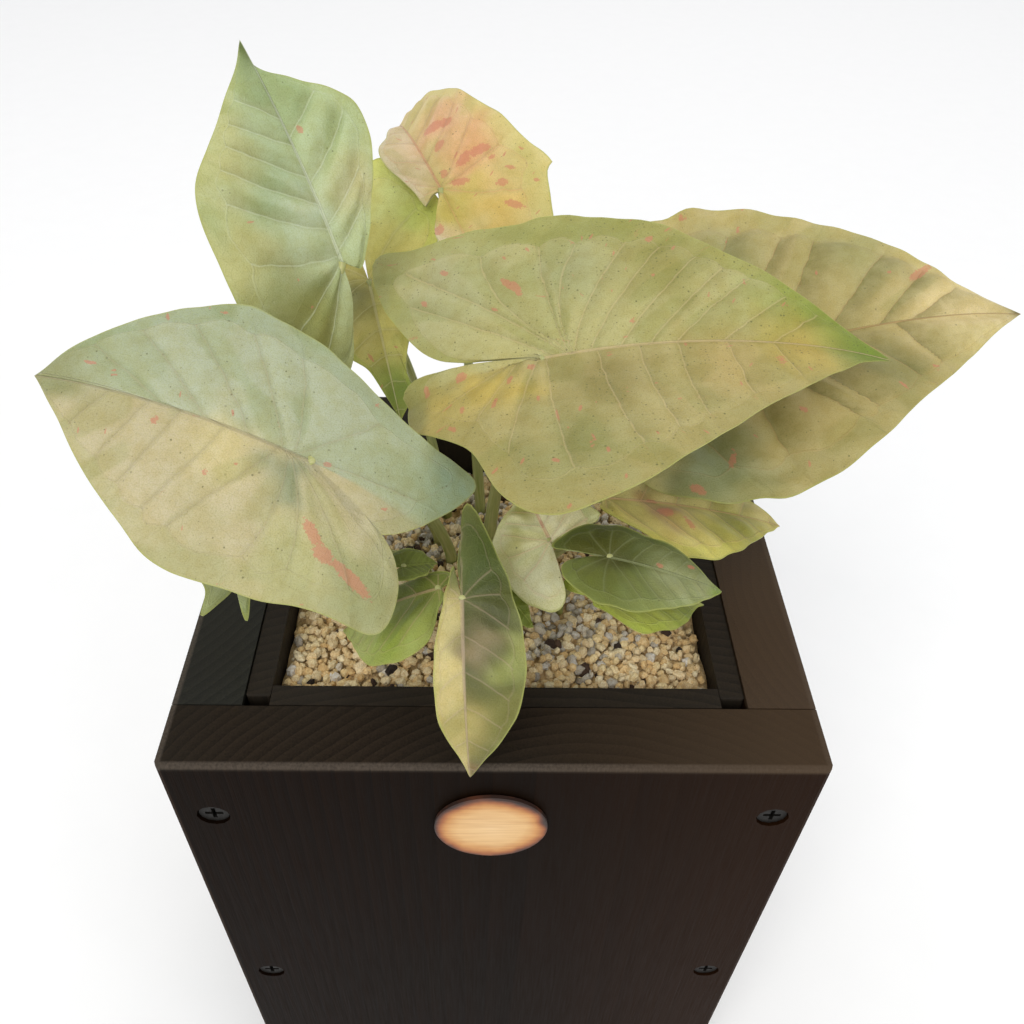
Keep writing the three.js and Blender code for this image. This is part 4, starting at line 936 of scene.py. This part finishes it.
blade_skins = [living_leaf("syngonium leaf, upper side", False),
               living_leaf("syngonium leaf, underside", True), leaf_stalk()]
for index, (name, leaf) in enumerate(LEAVES.items()):
    piece = make(f"{name}_grown", leaf_parts(leaf, index), blade_skins)
    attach(piece, "root")
    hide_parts(name)


# ---- substrate ----

def pebbles(centres, sizes, tones, seed):
    """Crushed grains: a globe of 7 meridians and 3 parallels whose radii are drawn at random,
    stretched three ways, turned at random and set at each centre."""
    draw = np.random.default_rng(seed)
    count = len(centres)
    columns, rows = 7, 3
    polar = np.pi * np.arange(1, rows + 1)[:, None] / (rows + 1)
    angle = 2 * np.pi * np.arange(columns)[None] / columns
    globe = np.stack([np.sin(polar) * np.cos(angle), np.sin(polar) * np.sin(angle),
                      np.cos(polar) + 0 * angle], -1)
    globe = np.vstack([globe.reshape(-1, 3), [(0, 0, 1)], [(0, 0, -1)]])
    ring = np.arange(rows)[:, None] * columns + np.arange(columns)[None]
    beside = np.roll(ring, -1, axis=1)
    quads = np.stack([ring[:-1], ring[1:], beside[1:], beside[:-1]], -1).reshape(-1, 4)
    top = np.stack([np.full(columns, rows * columns), ring[0], beside[0]], -1)
    bottom = np.stack([np.full(columns, rows * columns + 1), beside[-1], ring[-1]], -1)
    radii = draw.uniform(0.72, 1.14, (count, len(globe), 1))
    stretch = draw.uniform(0.62, 1.15, (count, 1, 3))
    spin = draw.normal(size=(count, 4))
    spin /= np.linalg.norm(spin, axis=1, keepdims=True)
    w, x, y, z = spin.T
    turn = np.stack([1 - 2 * (y * y + z * z), 2 * (x * y - z * w), 2 * (x * z + y * w),
                     2 * (x * y + z * w), 1 - 2 * (x * x + z * z), 2 * (y * z - x * w),
                     2 * (x * z - y * w), 2 * (y * z + x * w), 1 - 2 * (x * x + y * y)], -1)
    turn = turn.reshape(count, 3, 3)
    local = globe[None] * radii * stretch * sizes[:, None, None]
    points = np.einsum("nij,nkj->nki", turn, local) + centres[:, None]
    shift = np.arange(count)[:, None, None] * len(globe)
    faces = [(face[None] + shift).reshape(-1, face.shape[1]) for face in (quads, top, bottom)]
    return dict(points=points.reshape(-1, 3), faces=faces, slot=0,
                data={"tone": np.repeat(tones, len(globe), axis=0)})


def scatter(step, seed):
    """Places on a hexagonal grid of that step inside the planter, each moved a little at random."""
    draw = np.random.default_rng(seed)
    inset, row = 1.4, 0.87 * step
    x, y = np.meshgrid(np.arange(-BED_X + inset, BED_X - inset, step),
                       np.arange(-BED_Y + inset, BED_Y - inset, row))
    x = x + step / 2 * (np.arange(x.shape[0]) % 2)[:, None]
    x, y = (q.ravel() + draw.uniform(-0.4, 0.4, q.size) * step for q in (x, y))
    keep = (np.abs(x) < BED_X - 1.2) & (np.abs(y) < BED_Y - 1.2)
    for leaf in LEAVES.values():
        keep &= np.hypot(x - leaf["foot"][0], y - leaf["foot"][1]) > leaf["stalk"][0] + 1.0
    return x[keep], y[keep]


def tones_drawn(codes, count, seed):
    """A tone for each grain, drawn between neighbours of a short list, a little lighter or darker."""
    draw = np.random.default_rng(seed)
    listed = np.array([linear(code) for code in codes])
    first, second = draw.integers(0, len(listed), (2, count))
    mix = draw.uniform(0, 1, (count, 1))
    tone = listed[first] * mix + listed[second] * (1 - mix)
    tone[:, :3] *= draw.uniform(0.86, 1.05, (count, 1))
    return tone


CREAM = ["#F6E2B0", "#EED3A0", "#F8ECC8", "#E4C48C", "#F2E0B8"]
GREY = ["#DAD7CE", "#C8C4BA", "#EAE8E2", "#B4AEA2", "#E0D8C6"]
BARK = ["#3A2A20", "#2A201A", "#4C382A", "#5A4636"]
draw = np.random.default_rng(11)
spots = [scatter(2.15, 3), scatter(2.5, 4)]
x = np.concatenate([s[0] for s in spots])
y = np.concatenate([s[1] for s in spots])
under = np.concatenate([np.zeros(len(spots[0][0])), np.ones(len(spots[1][0]))])
z = bed_height(x, y) - 0.1 - 1.3 * under + draw.uniform(-0.5, 0.5, len(x))
radius = draw.uniform(0.95, 1.75, len(x))
# Grey grains gather in a patch right of centre at the front and towards the back, and dark grains
# grow more common towards the back.
grey_patch = np.exp(-(((x - 16) / 13) ** 2 + ((y + 22) / 12) ** 2))
greyness = 0.06 + 0.6 * grey_patch + 0.3 * smooth(-15, 20, y)
chance = draw.uniform(0, 1, len(x))
dark_share = 0.02 + 0.06 * smooth(-20, 10, y)
kinds = np.where(chance < dark_share, 2, np.where(draw.uniform(0, 1, len(x)) < greyness, 1, 0))
grains = (("pumice_grains", CREAM, stone_grit("crushed pumice, cream", 0.9)),
          ("perlite_grains", GREY, stone_grit("perlite and grey pumice", 0.85)),
          ("bark_bits", BARK, stone_grit("composted bark", 0.95)))
for kind, (piece_name, codes, grit) in enumerate(grains):
    chosen = kinds == kind
    centres, sizes = np.stack([x, y, z], -1)[chosen], radius[chosen]
    if piece_name == "bark_bits":
        chips = [(22, -36), (14, -28), (-26, -38), (-40, -20), (27, -20), (44, -25)]
        chips = np.array([(px, py, bed_height(px, py) + 0.6) for px, py in chips])
        centres = np.vstack([centres, chips])
        sizes = np.concatenate([sizes, np.linspace(2.0, 1.5, len(chips))])
    tones = tones_drawn(codes, len(centres), 20 + kind)
    piece = make(piece_name, [pebbles(centres, sizes, tones, 30 + kind)], [grit], shade_smooth=False)
    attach(piece, "root")
    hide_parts("substrate")


def bed_block():
    """What lies under the grains: a closed block whose top follows the substrate's surface 1.6 mm
    down, with fine lumps."""
    columns, rows = 84, 76
    gx, gy = np.meshgrid(np.linspace(-BED_X, BED_X, columns), np.linspace(-BED_Y, BED_Y, rows),
                         indexing="ij")
    top = bed_height(gx, gy) - 1.6 + 0.5 * swell(gx, gy, 5, 60)
    points = np.concatenate([np.stack([gx, gy, top], -1).reshape(-1, 3),
                             np.stack([gx, gy, 0 * gx + BED_BOTTOM], -1).reshape(-1, 3)])
    grid = np.arange(columns * rows).reshape(columns, rows)
    face = np.stack([grid[:-1, :-1], grid[1:, :-1], grid[1:, 1:], grid[:-1, 1:]], -1).reshape(-1, 4)
    around = np.concatenate([grid[:-1, 0], grid[-1, :-1], grid[:0:-1, -1], grid[0, :0:-1]])
    after = np.roll(around, -1)
    low = columns * rows
    wall = np.stack([around + low, after + low, after, around], -1)
    tone = np.tile(linear("#CDB284"), (2 * low, 1))
    return dict(points=points, faces=[face, face[:, ::-1] + low, wall], slot=0, data={"tone": tone})


piece = make("substrate_bed", [bed_block()], [stone_grit("damp fine pumice", 0.95)])
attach(piece, "root")
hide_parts("substrate")


# ---- planter ----

finishes = {}
# One black stain on all four boards: the left board's grey-green tones are painted cool light, and
# the right board's browner tones are painted warm light.
for side_name, dark, warm, pith, rough, gloss in (
        ("front", "#1B1611", "#31281F", (20.0, -128.0, 0.0), 0.55, 0.03),
        ("back", "#1B1611", "#31281F", (-24.0, 120.0, 0.0), 0.55, 0.06),
        ("left", "#1A1B18", "#2E2E28", (-130.0, 12.0, 0.0), 0.5, 0.1),
        ("right", "#221A13", "#3A2C20", (128.0, -18.0, 0.0), 0.5, 0.1)):
    finishes[f"{side_name}_board"] = stained_wood(f"pine board, black stain, {side_name}", dark, warm,
                                                  pith, rough, True, gloss)
inner_wood = stained_wood("pine strip, black stain", "#1B1712", "#30281F", (12.0, -260.0, 0.0),
                          0.6, False, 0.1)
finishes["wood_disc"] = scorched_disc()
finishes["left_cleat"], finishes["right_cleat"] = raw_softwood(), raw_softwood()
screw_paint = painted_screw()
for name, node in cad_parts.items():
    if name.startswith("screw"):
        finishes[name] = screw_paint
    elif name.startswith("liner") or name == "bottom_board":
        finishes[name] = inner_wood
    if name in finishes:
        for slot in node.material_slots:
            slot.material = finishes[name]


# ---- floor, light and camera ----

far = 2500.0
floor_points = np.array([(-far, -far, 0), (far, -far, 0), (far, far, 0), (-far, far, 0)])
floor_part = dict(points=floor_points, faces=[np.array([(0, 1, 2, 3)])], slot=0, data={})
floor = make("floor", [floor_part], [pale_floor()])


def softbox(name, place, aim, size, power, tint):
    """A square area light at place that faces aim, both in metres."""
    light = bpy.data.lights.new(name, "AREA")
    light.size, light.energy, light.color = size, power, tint
    lamp = bpy.data.objects.new(name, light)
    lamp.location = place
    way = np.array(aim, float) - place
    flat_run = np.hypot(way[0], way[1])
    lamp.rotation_euler = (np.arctan2(flat_run, -way[2]), 0, np.arctan2(-way[0], way[1]))
    bpy.context.scene.collection.objects.link(lamp)


softbox("key", (-0.7, -1.5, 1.9), (0, 0, 0.25), 1.3, 27.0, (1.0, 0.98, 0.94))
softbox("back", (0.6, 1.8, 2.2), (0, 0, 0.25), 1.2, 8.0, (1.0, 0.97, 0.93))
softbox("fill", (1.6, -1.6, 1.6), (0, 0, 0.2), 1.2, 8.0, (0.96, 0.98, 1.0))
world = bpy.data.worlds.new("pale studio")
world.use_nodes = True
world.node_tree.nodes["Background"].inputs["Color"].default_value = (0.96, 0.97, 1.0, 1.0)
world.node_tree.nodes["Background"].inputs["Strength"].default_value = 0.76
bpy.context.scene.world = world
bpy.context.scene.view_settings.view_transform = "Standard"

lens = bpy.data.cameras.new("camera")
lens.sensor_width, lens.lens = 36.0, 32.642
lens.clip_start, lens.clip_end = 0.01, 20.0
camera = bpy.data.objects.new("camera", lens)
camera.location = (-0.0033, -0.18, 0.40554)
camera.rotation_euler = np.radians((47.0238, -1.6738, -0.6795))
bpy.context.scene.collection.objects.link(camera)
bpy.context.scene.camera = camera
